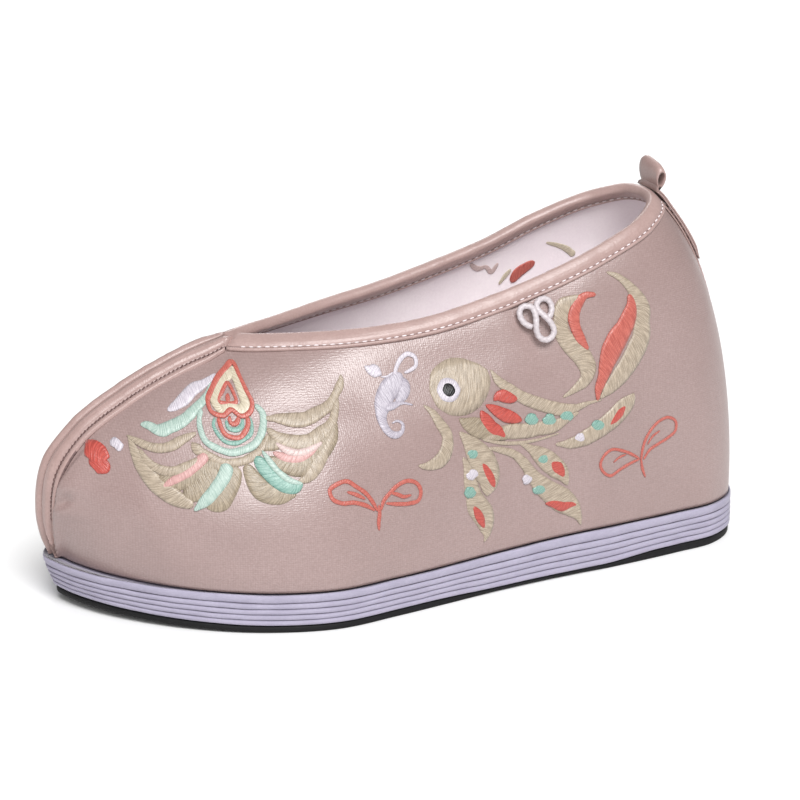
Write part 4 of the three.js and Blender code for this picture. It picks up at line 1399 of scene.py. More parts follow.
@dataclass
class Sole:
    """Layered cloth sole on a smooth rubber outsole."""

    form: ShoeForm
    steps: int = 210
    girth: float = 560.0
    undercut_power: float = 1.4
    bulge: float = 0.12
    fine_bulge: float = 0.05
    wobble: float = 0.1

    def __post_init__(self) -> None:
        """Sets out the stations round the outline."""
        feet = np.linspace(0, 1, self.steps + 1)
        self.around = ((OUTER, feet), (INNER, feet[-2:0:-1]))
        self.undercut = self.form.s.toe_undercut * self._over_feet(TOE_UNDERCUT)

    def build(self) -> None:
        """Makes the plies and the rubber."""
        self._plies()
        self._rubber()

    def _over_feet(self, span: Span) -> Array:
        """Rise of a span at every station."""
        return np.concatenate([span.rise(foot) for _, foot in self.around])

    def _outline(self, inset: Array, height: Callable[[Array], Array]) -> Array:
        """Ring of the sole.

        Args:
            inset: distance inwards at every station.
            height: gives the height from the lengths x.

        Returns:
            The ring's points.
        """
        starts = np.split(inset, [self.steps + 1])
        edges = [self.form.sole_edge(side, foot, cut)[0] for (side, foot), cut in zip(self.around, starts)]
        plan = np.concatenate(edges)
        return np.concatenate([plan, height(plan[:, 0])[:, None]], 1)

    def _layer(self, share: float, wobble: Array | float = 0.0) -> Callable[[Array], Array]:
        """Height of the plies at a share of their stack, as a function of x."""
        form, s = self.form, self.form.s
        return lambda x: mix(form.rubber_top(x) + s.clearance, s.sole_top + form.lift(x), share) + wobble

    def _plies(self) -> None:
        """Stack of pasted plies, with painted shade in their seams and under the upper's edge."""
        s = self.form.s
        run = np.linspace(0, self.girth, len(self.undercut), endpoint=False)
        rings, kinds = [], []
        for ply in range(s.ply_count):
            for up, back in PLY_EDGE:
                share = mix(PLY_SEAMS[ply], PLY_SEAMS[ply + 1], up)
                uneven = self.bulge * ripple(run / 3.0, ply * 1.7) + self.fine_bulge * ripple(run, ply + 0.4)
                under = self.undercut * (1 - share) ** self.undercut_power
                inset = back * s.groove + under + uneven * (1 - back)
                wobble = self.wobble * ripple(run / 2.5, ply + 3.0) if ply else 0.0
                rings.append(self._outline(np.maximum(inset, 0), self._layer(share, wobble)))
                # Faces beside each seam between plies get the painted shade.
                in_seam = ply > 0 and up < 0.05 or ply + 1 < s.ply_count and up > 0.9
                kinds.append(SECOND if in_seam else MAIN)
        toe_inset = (s.toe_ledge - s.side_ledge) * self._over_feet(TOE_LEDGE)
        for inset, share, kind in STACK_TOP:
            rings.append(self._outline(inset + toe_inset * UNDER_UPPER.rise(inset), self._layer(share)))
            kinds.append(kind)
        build = Build()
        index = wrapped(build.add(np.array(rings)))
        for i, kind in enumerate(kinds[:-1]):
            build.kind = kind
            build.join(index[i : i + 2])
        build.kind = MAIN
        build.face(index[0, :-1])
        build.face(index[-1, :-1])
        build.finish("layered_cotton_sole", (SOLE_CLOTH, PLY_SEAM), "sole_cloth", ["layered_sole"])

    def _rubber(self) -> None:
        """Thin outsole with a rounded lower edge."""
        form = self.form
        under = form.s.rubber_inset + self.undercut

        def level(on_top: bool, lift: float) -> Callable[[Array], Array]:
            return lambda x: (form.rubber_top(x) if on_top else form.spring(x) + form.arch(x)) + lift

        build = Build()
        build.loft(np.array([self._outline(under + inset, level(*where)) for inset, *where in RUBBER_RINGS]))
        build.finish("rubber_outsole", (RUBBER,), "rubber", ["outsole"])


@dataclass
class Footbed:
    """Hidden wedge under the heel, seen only as the insole inside the collar."""

    form: ShoeForm
    stations: int = 70
    across: int = 15
    start: float = 8.0
    end: float = 192.0
    side_gap: float = 0.3
    dish: float = 1.5
    edge_rise: float = 1.0
    thickness: float = 3.0

    def build(self) -> None:
        """Makes the wedge."""
        form, s = self.form, self.form.s
        x = np.linspace(self.start, self.end, self.stations)
        floor = form.feather_height + s.forepart_thickness + form.lift(x)
        seat = mix(floor, s.seat_height, form.seat_curve(x)[:, 0])
        depth = s.wall + s.clearance + self.side_gap
        inner, outer = (form.off(side, *form.place(side, x, seat), -depth)[:, 1] for side in (INNER, OUTER))
        share = np.linspace(0, 1, self.across)[None, :]
        y = mix(inner[:, None], outer[:, None], share)
        hollow = self.dish * (1 - (2 * share - 1) ** 4)
        top = np.stack([np.broadcast_to(x[:, None], y.shape), y, seat[:, None] - hollow + self.edge_rise], -1)
        low = top - [0, 0, self.thickness]
        build = Build()
        build.loft(np.concatenate([top, low[:, ::-1]], 1))
        build.finish("cotton_footbed", (LINING,), "lining_cloth", ["wedge_footbed"])


@dataclass
class CordKnot:
    """Ornamental knot of twisted cord on the outer side."""

    form: ShoeForm
    around: int = 12
    steps: int = 520
    lay: float = 1.7
    groove_radius: float = 0.9
    strand_rise: float = 0.13
    end_length: float = 0.6
    end_radius: float = 0.35

    def build(self) -> None:
        """Makes the cord."""
        form, s = self.form, self.form.s
        place = form.place(OUTER, *(np.array(value) for value in KNOT_SEAT))
        seat, normal = form.skin(OUTER, *place), form.normal(OUTER, *place)
        up = unit(np.array([0, 0, 1]) - normal * normal[2])
        heelward = unit(np.array([-1, 0, 0]) + normal * normal[0])
        route = np.array(KNOT_ROUTE)
        at = SmoothCurve(chord_shares(route), route)(np.linspace(0, 1, self.steps))
        lift = s.clearance + s.cord / 2 + at[:, 2]
        line = seat + heelward * at[:, :1] + up * at[:, 1:2] + normal * lift[:, None]
        run = unit(np.gradient(line, axis=0))
        side = unit(np.cross(run, normal))
        out = np.cross(side, run)
        length = chord_runs(line)
        turn = np.linspace(0, 2 * math.pi, self.around, endpoint=False)[None, :]
        strands = np.abs(np.cos(turn - math.pi * length[:, None] / self.lay))
        radius = s.cord / 2 * (self.groove_radius + self.strand_rise * strands)
        end = np.minimum(length, length[-1] - length) / self.end_length + self.end_radius
        radius = radius * np.minimum(1, end)[:, None]
        rings = line[:, None] + side[:, None] * (np.cos(turn) * radius)[..., None]
        build = Build()
        build.loft(rings + out[:, None] * (np.sin(turn) * radius)[..., None])
        build.finish("twisted_cord_knot", (CORD,), "cord", ["cord_knot"])


class Band(NamedTuple):
    """One run of satin stitch: x, z and width of each point of its centre line, in millimetres."""

    name: str
    thread: Thread
    layer: int
    line: tuple[float, ...]
    closed: bool = False

    def table(self) -> Array:
        """The points, one a row; a closed run ends on its first point again."""
        points = np.array(self.line).reshape(-1, 3)
        return np.concatenate([points, points[:1]]) if self.closed else points


# Fan, bird and leaf sprouts of one side, drawn as runs of satin stitch.
BANDS = (
    Band("flame_edge", Thread.CORAL, 3, (182.5, 79, 1.2, 182, 75.5, 1.2, 181.5, 72, 1.2, 181, 69.5, 1.2,
        182.5, 67, 1.2, 185.5, 66, 1.2, 187.5, 67.5, 1.2, 190.5, 66, 1.2, 193.5, 67, 1.2, 193.5, 69.5, 1.2,
        191.5, 72, 1.2, 188.5, 75, 1.2, 185, 77.5, 1.2), True),
    Band("flame_body", Thread.CREAM, 1, (183.5, 77, 2.7, 183, 74, 2.7, 183, 71, 2.7, 183, 69, 2.7,
        185, 67.5, 2.7, 187.5, 68.5, 2.7, 190.5, 67.5, 2.7, 191.5, 69, 2.7, 190.5, 71, 2.7, 188, 74, 2.7,
        185.5, 76, 2.7), True),
    Band("flame_heart", Thread.CORAL, 2, (186, 74, 1, 185.5, 72, 1, 185.5, 69.5, 1, 188, 69, 1,
        190.5, 69.5, 1, 188.5, 72, 1), True),
    Band("flame_core", Thread.CORAL, 1, (187, 71.5, 0.6, 187.5, 70.5, 1.3, 188, 69, 1)),
    Band("ring_outer", Thread.MINT_PALE, 2, (180.5, 69, 1.3, 179, 67, 1.9, 179.5, 64.5, 2, 181, 61.5, 2,
        184, 58.5, 2, 188, 57, 2, 191, 56.5, 2, 194.5, 57.5, 2, 197.5, 59.5, 1.9, 198, 62.5, 1.6,
        197.5, 65, 1.3, 196, 67.5, 1)),
    Band("ring_second", Thread.MINT, 1, (183, 66, 0.7, 183, 64, 1, 184, 61.5, 1, 186.5, 60, 1.2,
        189.5, 59, 1.2, 192, 59.5, 1.2, 193.5, 61.5, 1.2, 194, 63.5, 1, 193, 65.5, 0.7)),
    Band("ring_coral", Thread.CORAL, 2, (183.5, 66, 1.2, 184, 64, 1.3, 185.5, 62, 1.3, 187.5, 60.5, 1.3,
        189.5, 60.5, 1.3, 191.5, 61.5, 1.3, 192, 63, 1.3, 192, 65.5, 1.2)),
    Band("ring_fourth", Thread.MINT, 1, (185, 65.5, 0.7, 186, 63.5, 1.2, 188, 62.5, 1.3, 190, 63, 1.2,
        190, 65, 0.7)),
    Band("ring_core", Thread.CORAL, 2, (186, 66, 0.9, 187, 64.5, 1.2, 188.5, 64, 1.2, 189, 64.5, 1.2,
        188.5, 66, 0.9)),
    Band("swoosh", Thread.WHITE, 1, (188.5, 76, 0.5, 192, 74, 1.6, 196.5, 72, 2.5, 200, 69.5, 2.5,
        203.5, 67.5, 1.7, 205.5, 66.5, 0.6)),
    Band("crescent", Thread.MINT_PALE, 1, (190.5, 74, 0.7, 193.5, 70.5, 1.6, 197, 68, 2, 202, 64.5, 2.6,
        206.5, 62.5, 2.9, 209.5, 61.5, 2.9, 212, 62.5, 2.3, 214, 62.5, 0.7)),
    Band("left_rim", Thread.GOLD, 1, (218, 59.5, 0.6, 217.5, 55.5, 2.7, 216, 51, 4.4, 213.5, 47, 5.1,
        209, 43.5, 5.1, 204.5, 41.5, 2.7)),
    Band("left_top", Thread.GOLD, 2, (218.5, 59.5, 0.6, 215.5, 58, 2.2, 212, 57, 2.4, 208, 57.5, 2.4,
        204, 59.5, 2.2, 199.5, 61.5, 0.7)),
    Band("left_scallop", Thread.GOLD, 2, (216, 56.5, 0.7, 215, 53.5, 2.4, 212.5, 51.5, 2.7, 208, 51, 2.7,
        204, 52.5, 2.7, 199.5, 55, 1.3)),
    Band("left_rib", Thread.GOLD, 1, (201.5, 59, 1, 200.5, 57.5, 3.4, 199, 56, 2.4)),
    Band("left_fill_a", Thread.GOLD_DARK, 0, (213, 49, 2.4, 210, 48, 4.8, 206, 49, 5.5, 201.5, 51, 5.5,
        197, 53, 4.2, 193.5, 54, 1.9)),
    Band("left_fill_b", Thread.GOLD_DARK, 0, (206.5, 43.5, 3.4, 203, 46, 6.1, 199.5, 49.5, 6.1,
        196.5, 52.5, 3.4)),
    Band("left_fill_c", Thread.GOLD_DARK, 0, (201, 41, 1.9, 197.5, 42.5, 5.5, 195, 46, 6.1, 192.5, 49.5, 5.5,
        190.5, 53, 3.4)),
    Band("under_ring", Thread.GOLD, 1, (201, 58.5, 1, 198, 56, 2.2, 194, 54, 2.2, 189.5, 54, 2.2,
        185, 55.5, 2.2, 181, 58.5, 1.3, 179, 61.5, 0.7)),
    Band("left_pink", Thread.PINK, 2, (198, 56, 2.4, 201, 53.5, 2.7, 205, 50.5, 2.4, 209.5, 48, 1.9,
        212.5, 46, 0.6)),
    Band("bottom_mint", Thread.MINT_PALE, 2, (192.5, 53.5, 3.4, 194.5, 50, 3.7, 197.5, 46.5, 3.4,
        201, 43, 3.1, 204.5, 40, 0.8)),
    Band("right_fill_a", Thread.GOLD_DARK, 0, (187.5, 53.5, 2.4, 186.5, 50, 4.8, 184.5, 46.5, 6.8,
        180.5, 44.5, 5.5, 174.5, 44.5, 1)),
    Band("right_mint", Thread.MINT, 2, (184, 55.5, 2.7, 183, 53, 3.9, 180.5, 49.5, 4.2, 177.5, 47, 3.9,
        174, 46.5, 2.7, 172, 47.5, 0.7)),
    Band("right_mint_light", Thread.MINT_PALE, 3, (182, 57, 0.7, 180.5, 54, 1.9, 178.5, 51, 1.9,
        175.5, 48.5, 1.9, 172, 47.5, 0.6)),
    Band("right_top", Thread.GOLD, 2, (179, 65.5, 0.7, 175.5, 65.5, 2.2, 171.5, 65, 3.8, 167, 65, 3.8,
        162.5, 66.5, 3.4, 158, 68.5, 2.7, 155, 71.5, 2.2, 152.5, 74.5, 1.9, 152, 76, 0.7)),
    Band("right_low", Thread.GOLD, 1, (179, 63, 1.3, 176.5, 60.5, 3.4, 172, 59, 4.2, 167, 59, 4.2,
        163, 61, 3.8, 159, 63.5, 2.7, 156.5, 67.5, 2.2, 155, 70.5, 1)),
    Band("right_fill_b", Thread.GOLD_DARK, 0, (183, 58, 2.4, 179, 59, 4.2, 175, 59.5, 3.4)),
    Band("right_fill_c", Thread.GOLD_DARK, 0, (181.5, 54.5, 2.4, 176.5, 53, 4.8, 171, 52.5, 6.1,
        165.5, 55.5, 5.5, 160.5, 60, 4.8, 158, 64.5, 2.4)),
    Band("right_rim", Thread.GOLD, 1, (159, 61.5, 1.9, 162.5, 57, 2.7, 166.5, 52.5, 3.8, 170.5, 49, 2.7,
        173.5, 48, 0.7)),
    Band("right_pink", Thread.PINK, 1, (179, 56.5, 1, 176, 55, 2.7, 172, 54.5, 2.7, 168.5, 55.5, 2.2,
        164, 58, 0.6)),
    Band("right_pink_light", Thread.PINK_PALE, 2, (177.5, 59, 0.7, 175, 57, 2.2, 171, 56, 2.2, 167, 57, 1.9,
        163.5, 58.5, 0.6)),
    Band("berry_top", Thread.RED, 2, (230.5, 53, 1.3, 229, 53.5, 5.5, 227.5, 54, 6.8, 226, 54, 5.5,
        224.5, 53.5, 1.3)),
    Band("berry_low", Thread.RED, 1, (227, 53.5, 3.8, 227.5, 51, 5.1, 228, 49.5, 3.8, 228.5, 48.5, 0.7)),
    Band("seed", Thread.WHITE, 1, (223.5, 56.5, 1.1, 222.5, 57, 2.9, 222, 57, 3.5, 221, 57, 2.9,
        220, 57, 1.1)),
    Band("sprout_front_1", Thread.CORAL, 1, (147.5, 36.5, 0.7, 146, 39.5, 1.3, 143.5, 41.5, 1.3,
        140, 43.5, 1.3, 136.5, 44, 1.3, 133.5, 42.5, 1.3, 132.5, 40, 1.3, 133.5, 37.5, 1.3, 137, 37, 1.3,
        141, 37.5, 1.3, 145.5, 38.5, 0.7)),
    Band("sprout_front_2", Thread.CORAL, 1, (148.5, 36.5, 0.7, 150, 39.5, 1.3, 152, 42.5, 1.3, 155, 45, 1.3,
        158, 47, 1.3, 161.5, 46.5, 1.3, 164, 45, 1.3, 163.5, 42.5, 1.3, 161, 41, 1.3, 156.5, 40.5, 1.3,
        152.5, 39, 1.3, 149.5, 37, 0.7)),
    Band("sprout_front_3", Thread.CORAL, 1, (148, 38.5, 0.7, 148, 35.5, 1.3, 148.5, 33, 1.3,
        148.5, 30.5, 0.7)),
    Band("sprout_front_vein_1", Thread.CORAL, 1, (143.5, 41.5, 0.7, 141, 40.5, 1.2, 139, 39.5, 1.2,
        136, 39.5, 0.7)),
    Band("sprout_front_vein_2", Thread.CORAL, 1, (158.5, 44, 0.7, 156, 43, 1.2, 152.5, 41, 0.7)),
    Band("bud", Thread.WHITE, 1, (144, 78, 0.7, 142.5, 77, 2.7, 140.5, 76.5, 3.4, 139, 75.5, 1)),
    Band("bud_stalk", Thread.WHITE, 1, (139.5, 75, 0.4, 137.5, 75, 0.4, 135, 76, 0.4)),
    Band("scroll_loop", Thread.WHITE, 2, (135, 75, 1, 133.5, 77.5, 1.3, 131.5, 79.5, 1.3, 129, 80.5, 1.3,
        127, 79.5, 1.3, 127, 77.5, 1.2, 129.5, 76, 1, 131.5, 75.5, 0.6)),
    Band("scroll_body", Thread.GREY, 1, (132.5, 75.5, 2.4, 134.5, 73.5, 5.1, 137.5, 71.5, 5.9, 140, 69, 5.5,
        141.5, 66.5, 4.8, 142.5, 63.5, 3.4, 142, 60.5, 2.7, 140.5, 58.5, 2.4, 138.5, 58, 1.9, 136.5, 59, 1.3,
        136, 61, 1, 137.5, 62, 0.7, 139.5, 61.5, 0.4)),
    Band("scroll_shade", Thread.GREY, 0, (133, 74.5, 2.4, 132.5, 72, 4.2, 134, 69, 3.4, 136.5, 67.5, 1)),
    Band("scroll_tail", Thread.GREY, 1, (140.5, 66, 2.4, 138, 66.5, 2.2, 134.5, 67, 1, 131, 66, 0.4)),
    Band("head", Thread.GOLD, 0, (124.3, 69.2, 4, 123, 69.2, 9.5, 120.5, 69.3, 14, 117, 69.4, 17,
        113, 69.8, 17.5, 109.5, 70.8, 15.5, 106.5, 72, 11, 104.6, 73, 6.5, 103.6, 73.6, 2.5)),
    Band("eye_white", Thread.WHITE, 2, (122, 69.3, 3, 120.3, 69.1, 6, 118, 69, 7.4, 115.7, 68.9, 6,
        114, 68.7, 3)),
    Band("eye", Thread.BLACK, 3, (120.4, 69, 1.8, 119.4, 69, 3.8, 118, 69, 4.7, 116.6, 68.8, 3.8,
        115.6, 68.7, 1.8)),
    Band("beak", Thread.GOLD, 1, (127.5, 65.5, 0.6, 125, 63, 2.2, 123, 59.5, 3.4, 121, 55.5, 3.8,
        121.5, 52, 4.4, 123.5, 49, 4.8, 127.5, 47.5, 3.4, 130.5, 47.5, 1.9, 132.5, 48, 0.6)),
    Band("back_band", Thread.GOLD, 1, (102.5, 73.5, 0.6, 100.5, 70, 2.7, 97, 67, 3.4, 93, 64, 3.8,
        88, 61.5, 4.2, 83, 59.5, 4.2, 78, 58, 4.2, 73.5, 58, 2.7, 69, 59, 1.3, 64, 59.5, 0.4)),
    Band("breast", Thread.GOLD_DARK, 1, (116, 60, 0.6, 114, 58.5, 3.4, 111, 57, 5.9, 108, 55.5, 6.1,
        104, 53.5, 4.2, 99, 52, 1.9)),
    Band("belly_band", Thread.GOLD, 1, (108, 52.5, 1, 102.5, 53.5, 3.8, 97.5, 53.5, 4.8, 92.5, 53, 4.8,
        87, 53, 4.4, 82, 53, 4.2, 77.5, 54.5, 2.7, 72.5, 56.5, 0.7)),
    Band("belly_edge", Thread.GOLD, 1, (108.5, 52.5, 0.7, 102, 50.5, 1.2, 95.5, 49.5, 1.2, 88, 49.5, 0.9,
        80, 50.5, 0.4)),
    Band("petal_top", Thread.RED, 2, (103, 64, 0.7, 101.5, 65, 2.7, 99, 65, 4.2, 96.5, 64, 3.4,
        94.5, 63.5, 1)),
    Band("petal_mid", Thread.RED, 2, (106, 63, 0.7, 103.5, 61.5, 2.7, 99.5, 59, 4.2, 96, 57.5, 3.4,
        93.5, 56.5, 1)),
    Band("petal_low", Thread.RED, 2, (108, 61.5, 1, 106.5, 58.5, 3.8, 104.5, 55.5, 4.4, 102, 54, 3.4,
        100, 52, 1)),
    Band("wing_dot_1", Thread.MINT, 2, (92.5, 56.5, 1, 91.5, 56.5, 2.9, 90, 56.5, 3.7, 88.5, 56, 2.9,
        87.5, 56, 1)),
    Band("wing_dot_2", Thread.MINT, 2, (86, 56, 1.1, 85, 55.5, 3, 83.5, 55.5, 3.8, 82, 55, 3, 81, 55, 1.1)),
    Band("wing_dot_3", Thread.MINT, 2, (79.5, 56, 1, 78.5, 56, 2.9, 77, 56, 3.7, 75.5, 55.5, 2.9,
        74.5, 55.5, 1)),
    Band("plume_near", Thread.GOLD, 1, (63.5, 94, 0.4, 67.5, 93.5, 1, 71.5, 92.5, 2.7, 74.5, 91, 5.1,
        76.5, 87, 5.1, 76.5, 82.5, 5.5, 74, 78.5, 6.1, 70, 74, 6.5, 68.5, 70, 5.9, 69.5, 67, 4.4,
        73, 64.5, 2.7, 78, 62, 0.6)),
    Band("plume_near_core", Thread.CORAL, 2, (63.5, 93.5, 1.2, 67.0, 93.5, 2.2, 70.5, 90.5, 3.5,
        72.0, 87, 3.9, 71.5, 83, 3.5, 70.0, 79.5, 3.1, 68.0, 76.5, 0.9)),
    Band("plume_far", Thread.GOLD, 1, (58.5, 100, 0.7, 55, 98.5, 1.9, 52, 96, 2.7, 49, 92, 4.4,
        47, 87.5, 5.9, 47.5, 83, 6.1, 48, 78.5, 6.8, 50.5, 74, 7.2, 53.5, 70, 6.8, 57.5, 66, 5.9,
        61, 63, 4.2, 64.5, 60, 0.7)),
    Band("plume_far_core", Thread.CORAL, 2, (51.5, 92.5, 1.6, 51, 89.5, 3.3, 52, 86, 5.4, 54, 82.5, 6.2,
        57, 79, 7.4, 59.5, 75.5, 7.4, 61.5, 71.5, 5.9, 63, 67.5, 4.1, 65, 63, 2.7, 65.5, 59.5, 0.9)),
    Band("quill_top", Thread.GOLD, 1, (81.5, 47, 0.7, 76, 46.5, 3.4, 70.5, 47.5, 5.1, 64.5, 50, 6.1,
        60, 52.5, 6.5, 56, 55.5, 6.5, 53, 58, 4.4, 51.5, 60, 0.7)),
    Band("quill_top_core", Thread.RED, 2, (61.5, 50.5, 0.7, 59, 52.5, 2.7, 57, 54.5, 3.4, 55, 56.5, 0.7)),
    Band("quill_top_dot", Thread.MINT, 2, (68, 51.5, 1, 67, 51.5, 2.9, 65.5, 51, 3.7, 64, 51, 2.9,
        63, 51, 1)),
    Band("quill_top_pearl", Thread.WHITE, 2, (74.5, 48, 0.8, 73.5, 48, 2.2, 72.5, 48, 3, 71, 47.5, 2.2,
        70.5, 47.5, 0.8)),
    Band("quill_short", Thread.GOLD, 1, (95, 49.5, 0.6, 91, 47, 2.7, 87, 44, 5.9, 82.5, 40, 6.8,
        79, 36.5, 5.1, 77, 32.5, 0.7)),
    Band("quill_short_dot", Thread.MINT, 2, (88.5, 43, 1, 87.5, 43, 2.6, 86.5, 43, 3.2, 85, 42.5, 2.6,
        84.5, 42.5, 1)),
    Band("quill_short_core", Thread.RED, 2, (83.5, 41.5, 1, 82, 40, 3.8, 80, 38, 3.8, 78.5, 35.5, 1)),
    Band("quill_mid", Thread.GOLD, 1, (106.5, 49.5, 0.7, 101.5, 48, 2.2, 97, 46, 2.7, 93.5, 42.5, 3.4,
        90.5, 38, 4.4, 87, 34, 6.1, 83.5, 31, 7.2, 79, 27.5, 8.2, 75, 24, 6.1, 72.5, 20.5, 2.7,
        71.5, 17.5, 0.4)),
    Band("quill_mid_core", Thread.RED, 2, (85.5, 27.5, 0.7, 82.5, 27, 2.7, 78.5, 25.5, 3.8, 75.5, 25.5, 2.4,
        73.5, 25, 0.7)),
    Band("quill_mid_dot", Thread.MINT, 2, (90.5, 33.5, 1, 89.5, 33, 2.7, 88, 33, 3.5, 86.5, 32.5, 2.7,
        85.5, 32.5, 1)),
    Band("quill_mid_pearl", Thread.WHITE, 2, (94.5, 37.5, 0.8, 94, 37.5, 2.4, 92.5, 37, 3.2, 91.5, 37, 2.4,
        90.5, 37, 0.8)),
    Band("quill_low", Thread.GOLD, 1, (116.5, 56, 0.7, 113.5, 52.5, 4.8, 110.5, 48, 8.5, 108, 43.5, 9.3,
        107, 39, 7.8, 107.5, 36, 4.8, 108, 34, 0.7)),
    Band("quill_low_dot", Thread.MINT, 2, (114.5, 49, 1, 113.5, 49, 2.6, 112.5, 48.5, 3.2, 111, 48.5, 2.6,
        110.5, 48.5, 1)),
    Band("quill_low_core", Thread.RED, 2, (109.5, 45.5, 0.7, 108, 43, 2.7, 106.5, 40, 3.4, 105.5, 37.5, 1.9,
        105, 36.5, 0.6)),
    Band("quill_last", Thread.GOLD, 0, (116, 48, 1, 114.5, 44, 3.4, 114, 40, 4.8, 113, 35.5, 5.9,
        111.5, 31.5, 7.6, 109, 27.5, 7.6, 108, 23.5, 5.5, 108, 20.5, 2.4, 109, 18.5, 0.4)),
    Band("quill_last_pearl", Thread.WHITE, 2, (115.5, 42.5, 1, 114.5, 42, 2.7, 113.5, 42, 3.5, 112, 42, 2.7,
        111, 41.5, 1)),
    Band("quill_last_dot", Thread.MINT, 2, (116.5, 36.5, 1, 116, 36.5, 2.9, 114.5, 36.5, 3.7, 113, 36, 2.9,
        112, 36, 1)),
    Band("quill_last_core", Thread.RED, 2, (113, 31.5, 1, 111.5, 29, 2.7, 110, 26, 2.7, 109, 23.5, 0.7)),
    Band("sprout_heel_1", Thread.CORAL, 1, (48.5, 36, 0.6, 48, 40, 1, 46.5, 44, 1, 44, 47, 1, 41, 49, 1,
        37.5, 49.5, 1, 34.5, 47.5, 1, 34.5, 44.5, 1, 37.5, 42.5, 1, 41.5, 41, 1, 45, 39.5, 1,
        47.5, 36.5, 0.6)),
    Band("sprout_heel_2", Thread.CORAL, 1, (49, 37, 0.6, 52, 39, 1, 56, 41, 1, 60.5, 42, 1, 63, 40.5, 1,
        64.5, 37.5, 1, 63.5, 35, 1, 60.5, 33, 1, 57, 34.5, 1, 53, 36, 1, 49, 37, 0.6)),
    Band("sprout_heel_3", Thread.CORAL, 1, (48.5, 37, 0.6, 48, 34, 1, 46.5, 30, 0.6)),
    Band("sprout_heel_vein_1", Thread.CORAL, 1, (46, 41.5, 0.4, 44, 44, 0.7, 41, 45.5, 0.4)),
    Band("sprout_heel_vein_2", Thread.CORAL, 1, (59.5, 37.5, 0.4, 57, 39, 0.7, 54.5, 39.5, 0.4)),
)


# Backs of the far side's motif, which show through the lining, and their lower relief.
BACKING_PUFF = 0.1
BACKING = (
    Band("coral_back", Thread.CORAL, 0, (68.2, 85.2, 2.6, 65.9, 88.4, 4.2, 62.7, 90.3, 3.8,
        59.4, 91.8, 2.2)),
    Band("gold_back", Thread.CREAM, 0, (56, 98.8, 0.9, 51.5, 97.3, 1.6, 47.8, 95.6, 2.2, 44, 92.6, 2.6)),
    Band("grey_back", Thread.PINK_PALE, 0, (86, 95, 1.2, 82.1, 92.4, 2, 79.2, 92.6, 1.4, 76.7, 90.4, 2,
        74.4, 93.4, 1.2)),
    Band("gold_back_low", Thread.CREAM, 0, (73, 85, 1, 70.6, 88.3, 1.8, 68.8, 90.2, 1.2)),
)


@dataclass
class Embroidery:
    """Satin-stitch motif of one side, laid on the upper."""

    form: ShoeForm
    side: int
    label: str
    bands: tuple[Band, ...] = BANDS
    base: float = 0.0
    puff: float = 0.3
    step: float = 0.5
    fewest: int = 7
    across: int = 7
    layer_rise: float = 0.14
    low_lift: float = 0.1
    back_lift: float = 0.02
    crown: float = 2.6
    full_width: float = 2.2
    least_width: float = 0.5
    bluntness: float = 1.3
    roughness: float = 0.07
    most_rough: float = 0.14
    rough_rate: float = 2.1
    end_share: float = 0.06
    lean: float = 0.3

    def build(self) -> None:
        """Makes every run of stitches as one object."""
        build = Build()
        threads = list(Thread)
        for band in sorted(self.bands, key=lambda each: each.layer):
            build.kind = threads.index(band.thread)
            self._run(build, band)
        finishes = [thread.finish() for thread in threads]
        build.finish("embroidery_" + self.label, finishes, "satin", (), merge=FINE_MERGE)

    def _run(self, build: Build, band: Band) -> None:
        """Adds one run of satin stitch.

        Args:
            build: mesh that gets it.
            band: its centre line and width.
        """
        table = band.table()
        curve = SmoothCurve(chord_shares(table[:, :2]), table, closed=band.closed)
        last = 1 - TINY
        total = float(chord_runs(curve(np.linspace(0, 1, 200) * last)[:, :2])[-1])
        count = max(int(total / self.step), self.fewest)
        LOG.debug("%s: %d stations", band.name, count)
        at = np.linspace(0, 1, count, endpoint=not band.closed)
        line = curve(at * last)
        ahead, behind = curve(np.minimum(at + SKIN_STEP, last)), curve(np.maximum(at - SKIN_STEP, 0))
        along = unit((ahead - behind)[:, :2])
        across = np.stack([-along[:, 1], along[:, 0]], -1)
        run = at * total
        width = self._width(line[:, 2], run, total, band)
        share = np.linspace(-1, 1, self.across)
        plan = line[:, None, :2] + across[:, None] * (width[:, None] / 2 * share)[..., None]
        foot, climb = self.form.place(self.side, plan[..., 0], plan[..., 1])
        puff = self.puff * np.minimum(1, width / self.full_width)
        crown = 1 - np.abs(share) ** self.crown
        lift = self.low_lift + self.layer_rise * band.layer + puff[:, None] * crown[None, :]
        outward = -1 if self.base else 1
        face = self.form.cloth(self.side, foot, climb, self.base + outward * lift)
        under = self.base + outward * self.back_lift
        back = self.form.cloth(self.side, foot[:, ::3], climb[:, ::3], under)[:, ::-1]
        rings = np.concatenate([face, back], 1)
        slant = self.lean * width[:, None] * share
        wrap = np.stack([run[:, None] + slant, width[:, None] * share], -1)
        wrap = np.concatenate([wrap, wrap[:, ::3][:, ::-1]], 1)
        if band.closed:
            index = build.add(rings, wrap)
            build.join(wrapped(np.concatenate([index, index[:1]])))
        else:
            build.loft(rings, wrap)

    def _width(self, width: Array, run: Array, total: float, band: Band) -> Array:
        """Width of a run with its uneven edges, and with round ends if it has any.

        Args:
            width: the drawn width at each station.
            run: length from the start to each station.
            total: length of the whole run.
            band: the run.

        Returns:
            The widths.
        """
        width = np.maximum(width, self.least_width)
        rough = np.minimum(self.roughness * width, self.most_rough)
        width = width + rough * ripple(run * self.rough_rate, len(band.line) // 3)
        if band.closed:
            return width
        near = np.clip(np.minimum(run, total - run) / np.minimum(width / 2, self.bluntness), 0, 1)
        return width * np.sqrt(np.maximum(1 - (1 - near) ** 2, self.end_share))


STITCH_SOCKETS = (
    ("Geometry", "Geometry"), ("Length", "Float"), ("Girth", "Float"), ("Shortest", "Float"),
    ("Longest", "Float"), ("Seed", "Int"), ("Material", "Material"),
)


